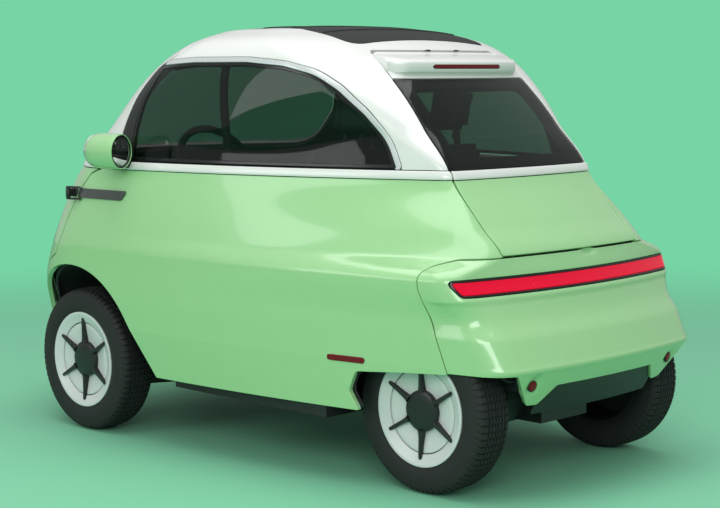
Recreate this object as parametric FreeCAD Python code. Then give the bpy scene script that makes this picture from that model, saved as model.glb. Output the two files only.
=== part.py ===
import FreeCAD, Part
import math
import os
from collections import namedtuple
from FreeCAD import Vector as V

# Microcar: a bubble-shaped two-seater with one front door, a rear hatch,
# steered front wheels in open arches and inset rear wheels under skirts.
# Millimetres. +Z up, front towards -Y, the car's left side towards +X.
# The origin is on the ground under the middle of the length.

os.makedirs("parts", exist_ok=True)

# ---------------------------------------------------------------- overall sizes
wheelbase = 1566.0
front_overhang = 573.5
rear_overhang = 379.5
half_width = 736.5
belt_z = 987.0            # lower edge of the white strip round the waist
strip_h = 30.0            # height of that strip
tyre_r = 266.5
tyre_w = 145.0
rim_r = 165.0             # bead seat
flange_r = 180.0
front_track = 1240.0
rear_track = 910.0

# ---------------------------------------------------------------- walls and gaps
wall_t = 45.0             # body side, outer skin to inner trim
glass_t = 5.0
glass_in = 4.0            # glass face behind the skin
shut_gap = 6.0            # round the door
hatch_gap = 8.0           # round the hatch
seam_gap = 3.0            # between fixed panels
liner_t = 5.0             # wheel housings
seat_gap = 0.3            # clearance where curved faces meet

length = wheelbase + front_overhang + rear_overhang
front_y = -length / 2 + front_overhang
rear_y = front_y + wheelbase
axle_z = tyre_r
front_x = front_track / 2
rear_x = rear_track / 2
strip_top = belt_z + strip_h

# ---------------------------------------------------------------- body sections
# One row per height. Each section is a closed plan outline of tangent arcs:
# nose, front corner, side, rear corner, tail, mirrored left and right.
# The rows are drawn for the length and half width below and stretched to the real ones.
drawn_length, drawn_half_width = 2519.0, 736.5
along, across = length / drawn_length, half_width / drawn_half_width
Level = namedtuple("Level", "z nose nose_r front_r tuck side_y side_r rear_r tail_r tail drop")
# z: height (above the strip: height over belt_z). nose: in from the front end.
# tuck: in from the half width. side_y: widest point, from the middle of the length.
# tail: in from the rear end. drop: how far the inner skin lies below.
LOW = [
    Level(257, 94.5, 800, 300, 38.5, -450, 7000, 130, 2600, 84.5, 0),
    Level(420, 0.5, 850, 330, 7.5, -600, 7500, 130, 3000, 0, 0),
    Level(560, 0, 850, 390, 0, -620, 7500, 130, 2800, 69.5, 0),
    Level(690, 43.5, 850, 400, 1.5, -620, 8400, 90, 2300, 144.5, 0),
    Level(760, 76.5, 840, 385, 9.5, -620, 5200, 170, 2800, 158, 0),
    Level(840, 121.5, 830, 365, 22.5, -620, 4500, 90, 2300, 232, 0),
    Level(belt_z, 217.5, 800, 340, 55.5, -600, 3600, 55, 2500, 359, 0),
]
HIGH = [
    Level(33, 249.5, 780, 335, 66.5, -590, 3600, 60, 2500, 376, 0),
    Level(163, 374.5, 730, 325, 84.5, -450, 3000, 200, 1450, 474.5, 0),
    Level(293, 489.5, 670, 305, 111.5, -300, 2800, 260, 1400, 599.5, 5),
    Level(393, 619.5, 620, 280, 154.5, -150, 2400, 280, 1300, 719.5, 12),
    Level(453, 739.5, 560, 260, 216.5, -60, 2200, 280, 1200, 839.5, 18),
    Level(493, 889.5, 500, 220, 336.5, 0, 1500, 220, 900, 989.5, 24),
    Level(514, 1199.5, 160, 56, 676.5, 0, 200, 56, 160, 1205.5, 30),
]


def arc_point(centre, radius, angle):
    """Point at an angle measured from the nose (-Y) towards +X."""
    return (centre[0] + radius * math.sin(angle), centre[1] - radius * math.cos(angle))


def arc_edge(centre, radius, start, end, z):
    points = [arc_point(centre, radius, a) for a in (start, (start + end) / 2, end)]
    return Part.Arc(*[V(x, y, z) for x, y in points]).toShape()


def corner_centre(c1, d1, c2, d2, rear):
    """Point at distance d1 from c1 and d2 from c2, on the front or rear side."""
    dx, dy = c2[0] - c1[0], c2[1] - c1[1]
    d = math.hypot(dx, dy)
    along = (d1 * d1 - d2 * d2 + d * d) / (2 * d)
    across = math.sqrt(max(d1 * d1 - along * along, 0))
    ex, ey = dx / d, dy / d
    mx, my = c1[0] + along * ex, c1[1] + along * ey
    both = [(mx - across * ey, my + across * ex), (mx + across * ey, my - across * ex)]
    outer = max(both, key=lambda p: p[0])
    if abs(both[0][0] - both[1][0]) < 1.0:
        outer = max(both, key=lambda p: p[1]) if rear else min(both, key=lambda p: p[1])
    return outer


def section(level, base_z, inset):
    """Closed plan outline of one level, moved inwards by inset."""
    z = base_z + level.z - (level.drop * inset / wall_t)
    nose_r, side_r, tail_r = across * level.nose_r, along * level.side_r, across * level.tail_r
    front_r, rear_r = [min(across, along) * radius for radius in (level.front_r, level.rear_r)]
    nose_c = (0, -length / 2 + along * level.nose + nose_r)
    side_c = (half_width - across * level.tuck - side_r, along * level.side_y)
    tail_c = (0, length / 2 - along * level.tail - tail_r)
    front_c = corner_centre(nose_c, nose_r - front_r, side_c, side_r - front_r, False)
    rear_c = corner_centre(tail_c, tail_r - rear_r, side_c, side_r - rear_r, True)

    def heading(a, b):
        return math.atan2(b[0] - a[0], a[1] - b[1])

    turns = [heading(nose_c, front_c), heading(side_c, front_c),
             heading(side_c, rear_c), heading(tail_c, rear_c)]
    inset = min(inset, 0.8 * front_r, 0.8 * rear_r)
    edges = [arc_edge(nose_c, nose_r - inset, -turns[0], turns[0], z)]
    right = [(front_c, front_r, turns[0], turns[1]), (side_c, side_r, turns[1], turns[2]),
             (rear_c, rear_r, turns[2], turns[3])]
    for centre, radius, start, end in right:
        edges.append(arc_edge(centre, radius - inset, start, end, z))
    edges.append(arc_edge(tail_c, tail_r - inset, turns[3], 2 * math.pi - turns[3], z))
    for centre, radius, start, end in reversed(right):
        mirrored = (-centre[0], centre[1])
        edges.append(arc_edge(mirrored, radius - inset, -end, -start, z))
    return Part.Wire(edges)


def body_solid(inset):
    """The whole body as a solid whose skin lies inset behind the outer skin."""
    wires = [section(level, 0, inset) for level in LOW]
    wires += [section(level, belt_z, inset) for level in HIGH]
    return Part.makeLoft(wires, True, True)


def box(x0, x1, y0, y1, z0, z1):
    return Part.makeBox(x1 - x0, y1 - y0, z1 - z0, V(x0, y0, z0))


def tube_x(x0, x1, radius, y, z):
    return Part.makeCylinder(radius, x1 - x0, V(x0, y, z), V(1, 0, 0))


def outline(axis, points, at, corner=0.0):
    """Face through (a, b) points in the plane across axis, its corners rounded."""
    place = {"x": lambda a, b: V(at, a, b), "y": lambda a, b: V(a, at, b),
             "z": lambda a, b: V(a, b, at)}[axis]
    vs = [place(a, b) for a, b in points]
    edges, ends = [], []
    for i, v in enumerate(vs):
        before, after = vs[i - 1] - v, vs[(i + 1) % len(vs)] - v
        turn = before.getAngle(after)
        reach = 0 if corner == 0 else corner / math.tan(turn / 2)
        reach = min(reach, 0.45 * before.Length, 0.45 * after.Length)
        if reach < 0.5 or turn > math.radians(178):
            ends.append((v, None, v))
            continue
        radius = reach * math.tan(turn / 2)
        a, b = before.normalize(), after.normalize()
        middle = v + (a + b).normalize() * (radius / math.sin(turn / 2) - radius)
        ends.append((v + a * reach, middle, v + b * reach))
    for i, (start, middle, end) in enumerate(ends):
        if middle is not None:
            edges.append(Part.Arc(start, middle, end).toShape())
        edges.append(Part.makeLine(end, ends[(i + 1) % len(ends)][0]))
    return Part.Face(Part.Wire(edges))


def prism(axis, points, low, high, corner=0.0):
    way = {"x": V(1, 0, 0), "y": V(0, 1, 0), "z": V(0, 0, 1)}[axis]
    return outline(axis, points, low, corner).extrude(way * (high - low))


def mirror(shape):
    return shape.mirror(V(0, 0, 0), V(1, 0, 0))


def solid_of(shape):
    """The shape's largest solid."""
    return max(shape.Solids, key=lambda s: s.Volume)


def export(name, *shapes):
    solids = [s for shape in shapes for s in shape.Solids]
    whole = solids[0] if len(solids) == 1 else Part.makeCompound(solids)
    whole.exportStep("parts/%s.step" % name)


far = 3000.0

# ---------------------------------------------------------------- shut lines
arch_r = tyre_r + 105.5
arch_z = axle_z - 10.5
arch_back = 452.0             # lower end of the arch behind the axle
door_r = arch_r + 52.0        # the door's lower edge runs round the arch
door_low_z = 400.0
roof_edge_y = -250.0 * along
hatch_low_z = 760.0
hatch_top_z = belt_z + 413.0
window_top_z = belt_z + 323.0


def door_region(gap):
    """Side view of the front door; gap moves its edge back and down."""
    def arch(degrees):
        a = math.radians(degrees)
        return (front_y - door_r * math.cos(a), arch_z + door_r * math.sin(a))
    points = [(-far, door_low_z), arch(19.5), arch(34), arch(49), arch(62), arch(74),
              (-758 * along, 747), (-717 * along, 825), (-676 * along, 901),
              (-611 * along, belt_z - 16), (-475 * along, strip_top),
              (-455 * along, belt_z + 140), (-425 * along, belt_z + 255),
              (-370 * along, belt_z + 369), (roof_edge_y, belt_z + 413),
              (roof_edge_y, 2000), (-far, 2000)]
    return prism("x", [(y + gap, z - gap) for y, z in points], -far, far, 30)


def hatch_region(gap):
    """Rear view of the hatch, cut straight along Y."""
    points = [(353, hatch_low_z), (350, strip_top + 20), (332, window_top_z), (318, hatch_top_z)]
    right = [(x + gap, z + gap * (z == hatch_top_z) - gap * (z == hatch_low_z)) for x, z in points]
    left = [(-x, z) for x, z in reversed(right)]
    return prism("y", right + left, 100, far, 20)


def tail_region(gap):
    """Side view of the tail panel below the hatch and round the corners."""
    points = [(rear_y + 143, 100), (rear_y + 143, 412), (rear_y + 97, 546), (rear_y + 56, 665),
              (rear_y + 51, 728), (rear_y + 130, 748), (far, hatch_low_z), (far, 100)]
    return prism("x", [(y - gap, z + gap) for y, z in points], -far, far, 30)


def arch_region(radius):
    """Side view of the front arch, open below, sloping back behind the wheel."""
    grow = radius - arch_r
    slope = math.radians(33)
    points = [(front_y - radius, 0), (front_y - radius, arch_z), (front_y, arch_z),
              (front_y + radius * math.cos(slope), arch_z + radius * math.sin(slope)),
              (front_y + arch_back + grow, arch_z), (front_y + arch_back + grow, 0)]
    low = prism("x", points, -far, far)
    return low.fuse(tube_x(-far, far, radius, front_y, arch_z))


def rear_opening():
    """Side view of the space under the rear skirt."""
    points = [(rear_y - 192, 0), (rear_y - 192, 262), (rear_y - 222, 317), (rear_y - 192, 383),
              (rear_y - 10, 396), (rear_y + 314, 412), (far, 412), (far, 0)]
    return prism("x", points, -far, far, 12)


def side_window(gap):
    """Side view of the window opening."""
    drawn = [(-404, strip_top + 4), (-390, belt_z + 140), (-360, belt_z + 255),
             (-308, belt_z + 372), (-126, belt_z + 381), (130, belt_z + 380),
             (272, belt_z + 362), (369, belt_z + 335), (430, belt_z + 287),
             (495, belt_z + 220), (570, belt_z + 131), (610, strip_top + 4)]
    points = [(y * along, z) for y, z in drawn]
    cy = sum(p[0] for p in points) / len(points)
    cz = sum(p[1] for p in points) / len(points)
    grown = [(y + gap * (1 if y > cy else -1), z + gap * (1 if z > cz else -1)) for y, z in points]
    return prism("x", grown, -far, far, 22)


def windscreen_region(gap):
    """Front view of the windscreen opening."""
    points = [(560, belt_z + 62), (545, belt_z + 200), (480, belt_z + 350), (400, belt_z + 436)]
    right = [(x + gap, z + gap * (i == 3) - gap * (i == 0)) for i, (x, z) in enumerate(points)]
    left = [(-x, z) for x, z in reversed(right)]
    return prism("y", right + left, -far, 0, 60)


# ---------------------------------------------------------------- body shell
outer = body_solid(0)
inner = body_solid(wall_t)
shell = outer.cut(inner)
glass = body_solid(glass_in).cut(body_solid(glass_in + glass_t))

door = door_region(0)
door_hole = door_region(shut_gap)
hatch = hatch_region(0)
hatch_hole = hatch_region(hatch_gap)
arch = arch_region(arch_r)
left_half = box(0, far, -far, far, 0, 2000)
below_belt = box(-far, far, -far, far, 0, belt_z)
strip_zone = box(-far, far, -far, far, belt_z, strip_top)
above_strip = box(-far, far, -far, far, strip_top, 2000)
nose_zone = box(-far, far, -far, front_y - arch_r + 40, 0, door_low_z - shut_gap)

fixed = shell.cut(door_hole).cut(hatch_hole)
low_fixed = fixed.common(below_belt).cut(arch)
nose_panel = low_fixed.common(nose_zone)
tail_panel = low_fixed.common(tail_region(0))
side_left = low_fixed.cut(nose_zone).cut(tail_region(seam_gap)).common(left_half)
wheel_clear = tube_x(rear_x - tyre_w / 2 - 12, rear_x + tyre_w / 2 + 8, tyre_r + 12, rear_y, axle_z)
side_left = solid_of(side_left.cut(rear_opening()).cut(wheel_clear))

# lower edge of the tail: two notched corners and the opening for the diffuser
tail_cut = [(-far, 0), (-far, 412), (-445, 408), (-352, 300), (-306, 297), (-250, 357), (250, 357),
            (306, 297), (352, 300), (445, 408), (far, 412), (far, 0)]
tail_panel = tail_panel.cut(prism("y", tail_cut, 0, far, 12))
tail_panel = solid_of(tail_panel.cut(wheel_clear).cut(mirror(wheel_clear)))
diffuser_zone = [(-305, 257), (-305.7, 296.6), (-250.2, 356.7),
                 (250.2, 356.7), (305.7, 296.6), (305, 257)]
diffuser = solid_of(shell.common(prism("y", diffuser_zone, rear_y, far, 12)))

# light bar let into the tail
lamp_w = 558.0
lamp_z0 = 650.0
lamp_z1 = 693.0
lamp_frame = 9.0
lamp_depth = 22.0
lamp_skin = body_solid(-2.0).cut(body_solid(lamp_depth))


def lamp_zone(grow):
    return box(-lamp_w - grow, lamp_w + grow, rear_y + 120, far, lamp_z0 - grow, lamp_z1 + grow)


lamp_pocket = lamp_skin.common(lamp_zone(lamp_frame))
tail_panel = solid_of(tail_panel.cut(lamp_pocket))
light_bar = solid_of(lamp_skin.common(lamp_zone(0)))
light_bar_frame = solid_of(lamp_pocket.cut(lamp_zone(0)))

# ---------------------------------------------------------------- upper body
window = side_window(0)
upper = fixed.common(above_strip)
pillar_zone = box(-far, far, -far, -291 * along, strip_top, belt_z + 381)
pillar_left = solid_of(upper.common(pillar_zone).cut(window).common(left_half))
sunroof_half = 330.0
sunroof_y0, sunroof_y1 = -206.0 * along, 414.0 * along
sunroof_plan = [(-sunroof_half, sunroof_y0), (sunroof_half, sunroof_y0),
                (sunroof_half + 20, sunroof_y1), (-sunroof_half - 20, sunroof_y1)]
sunroof_zone = prism("z", sunroof_plan, 1200, far, 60)
roof = solid_of(upper.cut(pillar_zone).cut(window).cut(sunroof_zone))
sunroof = solid_of(fixed.common(sunroof_zone))
strip_left = solid_of(fixed.common(strip_zone).common(left_half))
glass_left = solid_of(glass.common(side_window(-seat_gap)).common(left_half))
post_y = 96.0 * along
post_zone = box(0, far, post_y - 14, post_y + 14, strip_top, belt_z + 400)
post_left = solid_of(body_solid(glass_in + glass_t + seat_gap).cut(inner)
                     .common(post_zone).common(window))

# ---------------------------------------------------------------- front door
door_shell = shell.common(door)
door_panel = solid_of(door_shell.common(below_belt))
screen_zone = windscreen_region(0)
door_frame = solid_of(door_shell.cut(below_belt).cut(screen_zone))
windscreen = solid_of(glass.common(windscreen_region(-seat_gap)))

# ---------------------------------------------------------------- hatch
hatch_shell = shell.common(hatch)
hatch_panel = solid_of(hatch_shell.common(below_belt))
hatch_strip = solid_of(hatch_shell.common(strip_zone))
spoiler = solid_of(hatch_shell.cut(box(-far, far, 0, far, 0, window_top_z)))
glass_band = box(-far, far, 0, far, strip_top, window_top_z)
rear_glass = solid_of(hatch_shell.common(glass_band).common(body_solid(0).cut(body_solid(glass_t))))
light_w = 290.0
hatch_light = [(light_w, strip_top + 40), (light_w - 12, window_top_z - 30),
               (12 - light_w, window_top_z - 30), (-light_w, strip_top + 40)]
hatch_frame = hatch_shell.common(glass_band).common(body_solid(glass_t + seat_gap))
hatch_frame = solid_of(hatch_frame.cut(prism("y", hatch_light, 0, far, 30)))
lip_depth = 56.0              # how far the spoiler's lip stands behind the skin
lip_side = [(380, hatch_top_z - 3), (470, hatch_top_z - 3), (700, hatch_top_z - 46),
            (700, belt_z + 349), (580, window_top_z + 4), (380, window_top_z + 4)]
lip_zone = prism("x", lip_side, -far, far).common(hatch)
lip = outer.translated(V(0, lip_depth, 0)).cut(outer).common(lip_zone)
spoiler = solid_of(spoiler.fuse(lip))
brake_w, brake_z, brake_h = 174.0, belt_z + 366.0, 15.0
brake_zone = box(-brake_w, brake_w, 100, far, brake_z - brake_h / 2, brake_z + brake_h / 2)
brake_face = outer.translated(V(0, lip_depth + 1, 0))
brake_skin = brake_face.cut(outer.translated(V(0, lip_depth - 12, 0)))
brake_lamp = solid_of(brake_skin.common(brake_zone))
spoiler = solid_of(spoiler.cut(brake_lamp))

# ---------------------------------------------------------------- hinges
def tail_at(z):
    """How far back the skin reaches on the middle line at height z above the belt."""
    for low, high in zip(HIGH, HIGH[1:]):
        if low.z <= z <= high.z:
            share = (z - low.z) / (high.z - low.z)
            return length / 2 - along * (low.tail + share * (high.tail - low.tail))


# Hatch: pins in the shut line, along the top edge.
pin_r, pin_fit = 2.0, 0.3
hatch_pin_y = tail_at(hatch_top_z - belt_z)
hatch_pin_z = hatch_top_z + hatch_gap / 2
for side in (-1, 1):
    x0, x1, x2 = 62.0, 83.7, 84.0
    pin = tube_x(x0, x2 + 14, pin_r, hatch_pin_y, hatch_pin_z)
    lug = box(x2, x2 + 14, hatch_pin_y - 24, hatch_pin_y + 3, hatch_pin_z - 1, hatch_top_z + hatch_gap)
    eye = tube_x(x0, x1, 3.8, hatch_pin_y, hatch_pin_z)
    eye = eye.fuse(box(x0, x1, hatch_pin_y - 16, hatch_pin_y + 1, hatch_top_z, hatch_pin_z - 1))
    eye = eye.cut(tube_x(x0 - 1, x1 + 1, pin_r + pin_fit, hatch_pin_y, hatch_pin_z))
    if side < 0:
        pin, lug, eye = mirror(pin), mirror(lug), mirror(eye)
    roof = roof.fuse(pin).fuse(lug)
    spoiler = spoiler.fuse(eye)
roof = solid_of(roof)
spoiler = solid_of(spoiler)

# Front door: one outside hinge on the car's left, its body half at the end of the side bar.
bar_z0, bar_z1 = 876.0, 911.0
bar_y0, bar_y1 = front_y + 22.0, front_y + 284.0
hinge_y = front_y - 14.0
hinge_skin = outer.common(box(0, far, hinge_y - 0.5, hinge_y + 0.5, 893, 894))
hinge_x = round(max(v.X for v in hinge_skin.Vertexes) + 38.6)
bar_points = [(bar_y0, bar_z0), (bar_y1 - 26, bar_z0), (bar_y1, bar_z1), (bar_y0, bar_z1)]
side_bar = solid_of(body_solid(-9.0).cut(outer).common(prism("x", bar_points, 300, far, 8)))
barrel_r, door_pin_r, lug_h = 12.0, 5.0, 7.0
pin_z0, pin_z1 = bar_z0 - lug_h, bar_z1 + lug_h
hinge_half = Part.makeCylinder(barrel_r, pin_z1 - pin_z0, V(hinge_x, hinge_y, pin_z0))
hinge_half = hinge_half.fuse(box(hinge_x - barrel_r, hinge_x + barrel_r - 6, hinge_y, bar_y0 + 30,
                                 pin_z0, pin_z1))
hinge_half = hinge_half.cut(box(0, far, -far, bar_y0 - 8, bar_z0 - seat_gap, bar_z1 + seat_gap))
hinge_half = hinge_half.cut(outer)
hinge_half = hinge_half.fuse(Part.makeCylinder(door_pin_r, pin_z1 - pin_z0, V(hinge_x, hinge_y, pin_z0)))
hinge_bar = solid_of(side_bar.fuse(hinge_half))
door_hinge = Part.makeCylinder(barrel_r, bar_z1 - bar_z0, V(hinge_x, hinge_y, bar_z0))
door_hinge = door_hinge.fuse(box(hinge_x - 80, hinge_x + barrel_r, hinge_y - 62, hinge_y, bar_z0, bar_z1))
door_hinge = door_hinge.cut(Part.makeCylinder(door_pin_r + pin_fit, 200, V(hinge_x, hinge_y, 800)))
door_hinge = solid_of(door_hinge.cut(outer))

# ---------------------------------------------------------------- floor and wheel housings
floor_z0, floor_z1 = 215.0, 257.0
kingpin_x = front_x - 120.0
tunnel_x = kingpin_x - 122.0  # inner wall of the front housings
rear_wall_x = rear_x - tyre_w / 2 - 16.5      # inner wall of the rear housings
floor_half = half_width - 116.5
housing_r = arch_r
rear_housing_r = tyre_r + 38.0
floor_pan = box(-rear_wall_x, rear_wall_x, front_y - 300, rear_y - 125, floor_z0, floor_z1)
floor_pan = floor_pan.fuse(box(-floor_half, floor_half, front_y + arch_back + 18, rear_y - 320,
                               floor_z0, floor_z1))
arm_z1 = axle_z - 96.5        # top of the lower front arms
arm_z0 = arm_z1 - 22.0
arm_root_x = 250.0
for side in (-1, 1):
    rail = box(200, arm_root_x - seat_gap, front_y - 160, front_y + 160, arm_z0, floor_z0)
    floor_pan = floor_pan.fuse(rail if side > 0 else mirror(rail))
jack_x, jack_y = floor_half - 60.0, 100.0
jack_pad, jack_t = 40.0, 6.0  # half the side of a lifting pad, and its thickness
for x in (-jack_x, jack_x):
    floor_pan = floor_pan.fuse(box(x - jack_pad, x + jack_pad, jack_y - jack_pad, jack_y + jack_pad,
                                   floor_z0 - jack_t, floor_z0))
floor_pan = floor_pan.removeSplitter()

tow_r, tow_depth, tow_x = 8.0, 60.0, 200.0
tow_z = (floor_z0 + floor_z1) / 2
floor_pan = floor_pan.cut(Part.makeCylinder(tow_r, tow_depth, V(tow_x, front_y - 300, tow_z),
                                            V(0, 1, 0)))

cavity = body_solid(wall_t + seat_gap)
front_liner = arch_region(housing_r + liner_t).cut(arch_region(housing_r))
front_liner = front_liner.common(box(tunnel_x, far, -far, far, 262, 2000))
front_wall = arch_region(housing_r + liner_t).common(
    box(tunnel_x, tunnel_x + liner_t, -far, far, 330, 2000))
front_housing = solid_of(front_liner.fuse(front_wall).common(cavity))
rear_liner = tube_x(rear_wall_x, far, rear_housing_r + liner_t, rear_y, axle_z)
rear_liner = rear_liner.cut(tube_x(rear_wall_x + liner_t, far, rear_housing_r, rear_y, axle_z))
rear_housing = solid_of(rear_liner.common(box(0, far, -far, far, 345, 2000)).common(cavity))
shelf_z = axle_z + rear_housing_r + liner_t + 12
boot_half = half_width - 96.5
boot_floor = box(-boot_half, boot_half, rear_y - 330, far, shelf_z, shelf_z + 14).common(cavity)
boot_floor = solid_of(boot_floor)

# ---------------------------------------------------------------- wheels
dish_x = 34.0                 # cover face outboard of the wheel's middle


def ring(profile, y, z):
    """Solid turned about the axle line: profile of (x, radius) points."""
    points = [V(x, y, z + r) for x, r in profile]
    face = Part.Face(Part.makePolygon(points + points[:1]))
    return face.revolve(V(0, y, z), V(1, 0, 0), 360)


def wheel(middle_x, y):
    """Tyre, rim with cover, and hub of a left-hand wheel."""
    half = tyre_w / 2
    tread = [(-half + 16, rim_r), (-half + 6, flange_r), (-half, flange_r + 32),
             (-half + 6, tyre_r - 18), (-half + 20, tyre_r - 3), (-half + 40, tyre_r),
             (half - 40, tyre_r), (half - 20, tyre_r - 3), (half - 6, tyre_r - 18),
             (half, flange_r + 32), (half - 6, flange_r), (half - 16, rim_r)]
    tyre = ring([(middle_x + x, r) for x, r in tread], y, axle_z)
    lip = half - 5.5
    rim = [(-lip, flange_r - 0.5), (-half + 15.5, rim_r - seat_gap), (half - 15.5, rim_r - seat_gap),
           (lip, flange_r - 0.5), (lip + 3, flange_r - 3), (lip, flange_r - 12),
           (half - 22, rim_r - 12), (dish_x, 120), (dish_x + 14, 70), (dish_x + 14, 2),
           (dish_x - 8, 2), (dish_x - 8, 70), (dish_x - 14, 140), (10, rim_r - 10),
           (-half + 22, rim_r - 10), (-lip, flange_r - 12)]
    cover = ring([(middle_x + x, r) for x, r in rim], y, axle_z)
    return tyre, cover


hub_r = 62.0
mount_x = dish_x - 8          # inner face of the wheel's centre
front_tyre, front_rim = wheel(front_x, front_y)
rear_tyre, rear_rim = wheel(rear_x, rear_y)
front_rim = front_rim.fuse(tube_x(kingpin_x + 25.4, front_x + mount_x, hub_r, front_y, axle_z))
arm_x1 = rear_wall_x - 7.0
arm_x0 = arm_x1 - 59.0
rear_rim = rear_rim.fuse(tube_x(arm_x1 + 0.4, rear_x + mount_x, hub_r, rear_y, axle_z))
knuckle = box(kingpin_x - 24, kingpin_x + 24, front_y - 36, front_y + 36, axle_z - 96, axle_z + 96)
knuckle = knuckle.fuse(tube_x(kingpin_x - 24, kingpin_x + 25, 52, front_y, axle_z))
steer_arm = box(kingpin_x - 22, kingpin_x - 2, front_y + 30, front_y + 120, axle_z - 20, axle_z)
knuckle = knuckle.fuse(steer_arm).removeSplitter()
strut_z0 = axle_z + 96.5
strut_r = 24.0
strut_z1 = arch_z + math.sqrt(housing_r ** 2 - strut_r ** 2) - seat_gap
strut = Part.makeCylinder(strut_r, strut_z1 - strut_z0, V(kingpin_x, front_y, strut_z0))
low_arm = prism("z", [(kingpin_x + 26, front_y - 26), (kingpin_x + 26, front_y + 26),
                      (arm_root_x, front_y + 150), (arm_root_x, front_y - 150)],
                arm_z0, arm_z1, 14)
rear_arm = prism("x", [(rear_y - 340, 150), (rear_y - 340, floor_z0 - seat_gap),
                       (rear_y - 100, floor_z0 - seat_gap),
                       (rear_y - 60, axle_z + 60), (rear_y + 60, axle_z + 60),
                       (rear_y + 60, axle_z - 60), (rear_y - 60, axle_z - 60)],
                 arm_x0, arm_x1, 18)
drive_w = 200.0
drive_unit = tube_x(-drive_w, drive_w, 95, rear_y, axle_z)
drive_unit = drive_unit.fuse(tube_x(-arm_x0 + seat_gap, arm_x0 - seat_gap, 22, rear_y, axle_z))
drive_unit = drive_unit.fuse(box(-120, 120, rear_y - 20, rear_y + 170, 190, 372)).removeSplitter()

# ---------------------------------------------------------------- seat and steering
seat_y0, seat_y1 = front_y + 370, 130.0 * along
seat_w = 520.0
back_w = 452.0
cushion_z = 570.0
back_lean = math.radians(14)
seat_base = box(-seat_w + 25, seat_w - 25, front_y + arch_back + liner_t + seam_gap, seat_y1 + 20,
                floor_z1, cushion_z - 110)
cushion = prism("x", [(seat_y0, cushion_z - 109.7), (seat_y0, cushion_z),
                      (seat_y1 - 20, cushion_z - 30), (seat_y1 - 20, cushion_z - 109.7)],
                -seat_w, seat_w, 30)
back_h, back_t = 610.0, 95.0
back_points = [(0, 0), (0, back_h), (back_t, back_h), (back_t, 0)]


def lean(points, y, z):
    s, c = math.sin(back_lean), math.cos(back_lean)
    return [(y + a * c + b * s, z - a * s + b * c) for a, b in points]


back_z = cushion_z - 60
back_y = seat_y1 - 16
backrest = prism("x", lean(back_points, back_y, back_z), -back_w, back_w, 30)
riser = lean([(32, -seat_gap), (back_t - 32, -seat_gap)], back_y, back_z)
riser += [(riser[1][0], floor_z1), (riser[0][0], floor_z1)]
seat_base = seat_base.fuse(prism("x", riser, -back_w + 20, back_w - 20)).removeSplitter()
head_points = [(6, back_h + 14), (6, back_h + 190), (76, back_h + 190), (76, back_h + 14)]
stalk_points = [(36, back_h - 1), (36, back_h + 20), (46, back_h + 20), (46, back_h - 1)]


def headrest(x):
    pad = prism("x", lean(head_points, back_y, back_z), x - 115, x + 115, 26)
    for side in (-40, 40):
        post = prism("x", lean(stalk_points, back_y, back_z), x + side - 5, x + side + 5)
        pad = pad.fuse(post)
    return pad.cut(backrest)


wheel_x = 290.0
hoop_y, hoop_z = -350.0 * along, belt_z - 7.0
hoop_r, hoop_t = 168.0, 14.0
column_tilt = math.radians(32)
column_way = V(0, math.cos(column_tilt), math.sin(column_tilt))
hoop_c = V(wheel_x, hoop_y, hoop_z)
hub_top = 12.0                # hub face behind the middle of the rim
hub_depth = 30.0
steering_wheel = Part.makeTorus(hoop_r, hoop_t, hoop_c, column_way)
steering_wheel = steering_wheel.fuse(
    Part.makeCylinder(48, hub_depth, hoop_c - column_way * (hub_top + hub_depth), column_way))
for turn in (90, 210, 330):
    spoke_foot = hoop_c - column_way * 20
    spoke = Part.makeCylinder(9, hoop_r, spoke_foot, V(1, 0, 0))
    spoke.rotate(spoke_foot, column_way, turn)
    steering_wheel = steering_wheel.fuse(spoke)
steering_wheel = steering_wheel.removeSplitter()
column_top = hoop_c - column_way * (hub_top + hub_depth + seat_gap)
column = Part.makeCylinder(32, 180, column_top - column_way * 180, column_way)
column_foot = column_top - column_way * 165
column_post = Part.makeCylinder(26, column_foot.z - floor_z1, V(wheel_x, column_foot.y, floor_z1))
column = column.fuse(column_post)
dash = cavity.common(door).common(box(-far, far, front_y - 110, front_y - 40, 835, 905))

# ---------------------------------------------------------------- outside fittings
pod_x, pod_z, pod_r = half_width + 6.5, belt_z + 69.0, 64.0
pod_y0, pod_y1 = -495.0 * along, -340.0 * along
pod = Part.makeCylinder(pod_r, pod_y1 - pod_y0, V(pod_x, pod_y0, pod_z), V(0, 1, 0))
pod = pod.makeFillet(14, [e for e in pod.Edges if e.Curve.TypeId == "Part::GeomCircle"])
lens = Part.makeCylinder(pod_r - 14, 12, V(pod_x, pod_y0 - 0.3, pod_z), V(0, 1, 0))
mirror_disc = Part.makeCylinder(pod_r - 8, 6, V(pod_x, pod_y1 - 5.7, pod_z), V(0, 1, 0))
pod_body = pod.cut(lens).cut(mirror_disc)
foot = box(0, pod_x, pod_y0 + 32, pod_y0 + 93, strip_top + 2, pod_z).cut(outer).cut(pod)
pod_body = solid_of(pod_body.fuse(foot))
marker = body_solid(-3.0).cut(outer).common(box(300, far, rear_y - 299, rear_y - 153, 411, 431))
marker = solid_of(marker)
reflector = solid_of(body_solid(-2.0).cut(outer).common(
    Part.makeCylinder(15, 500, V(367, rear_y + 200, 358), V(0, 1, 0))))

# ---------------------------------------------------------------- parts
pairs = {
    "side_panel": side_left, "side_glass": glass_left,
    "lamp_pod": pod_body, "knuckle": knuckle,
    "front_tyre": front_tyre, "front_rim": front_rim, "rear_tyre": rear_tyre,
    "rear_rim": rear_rim,
}
for name, shape in pairs.items():
    export(name + "_left", shape)
    export(name + "_right", mirror(shape))

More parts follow.
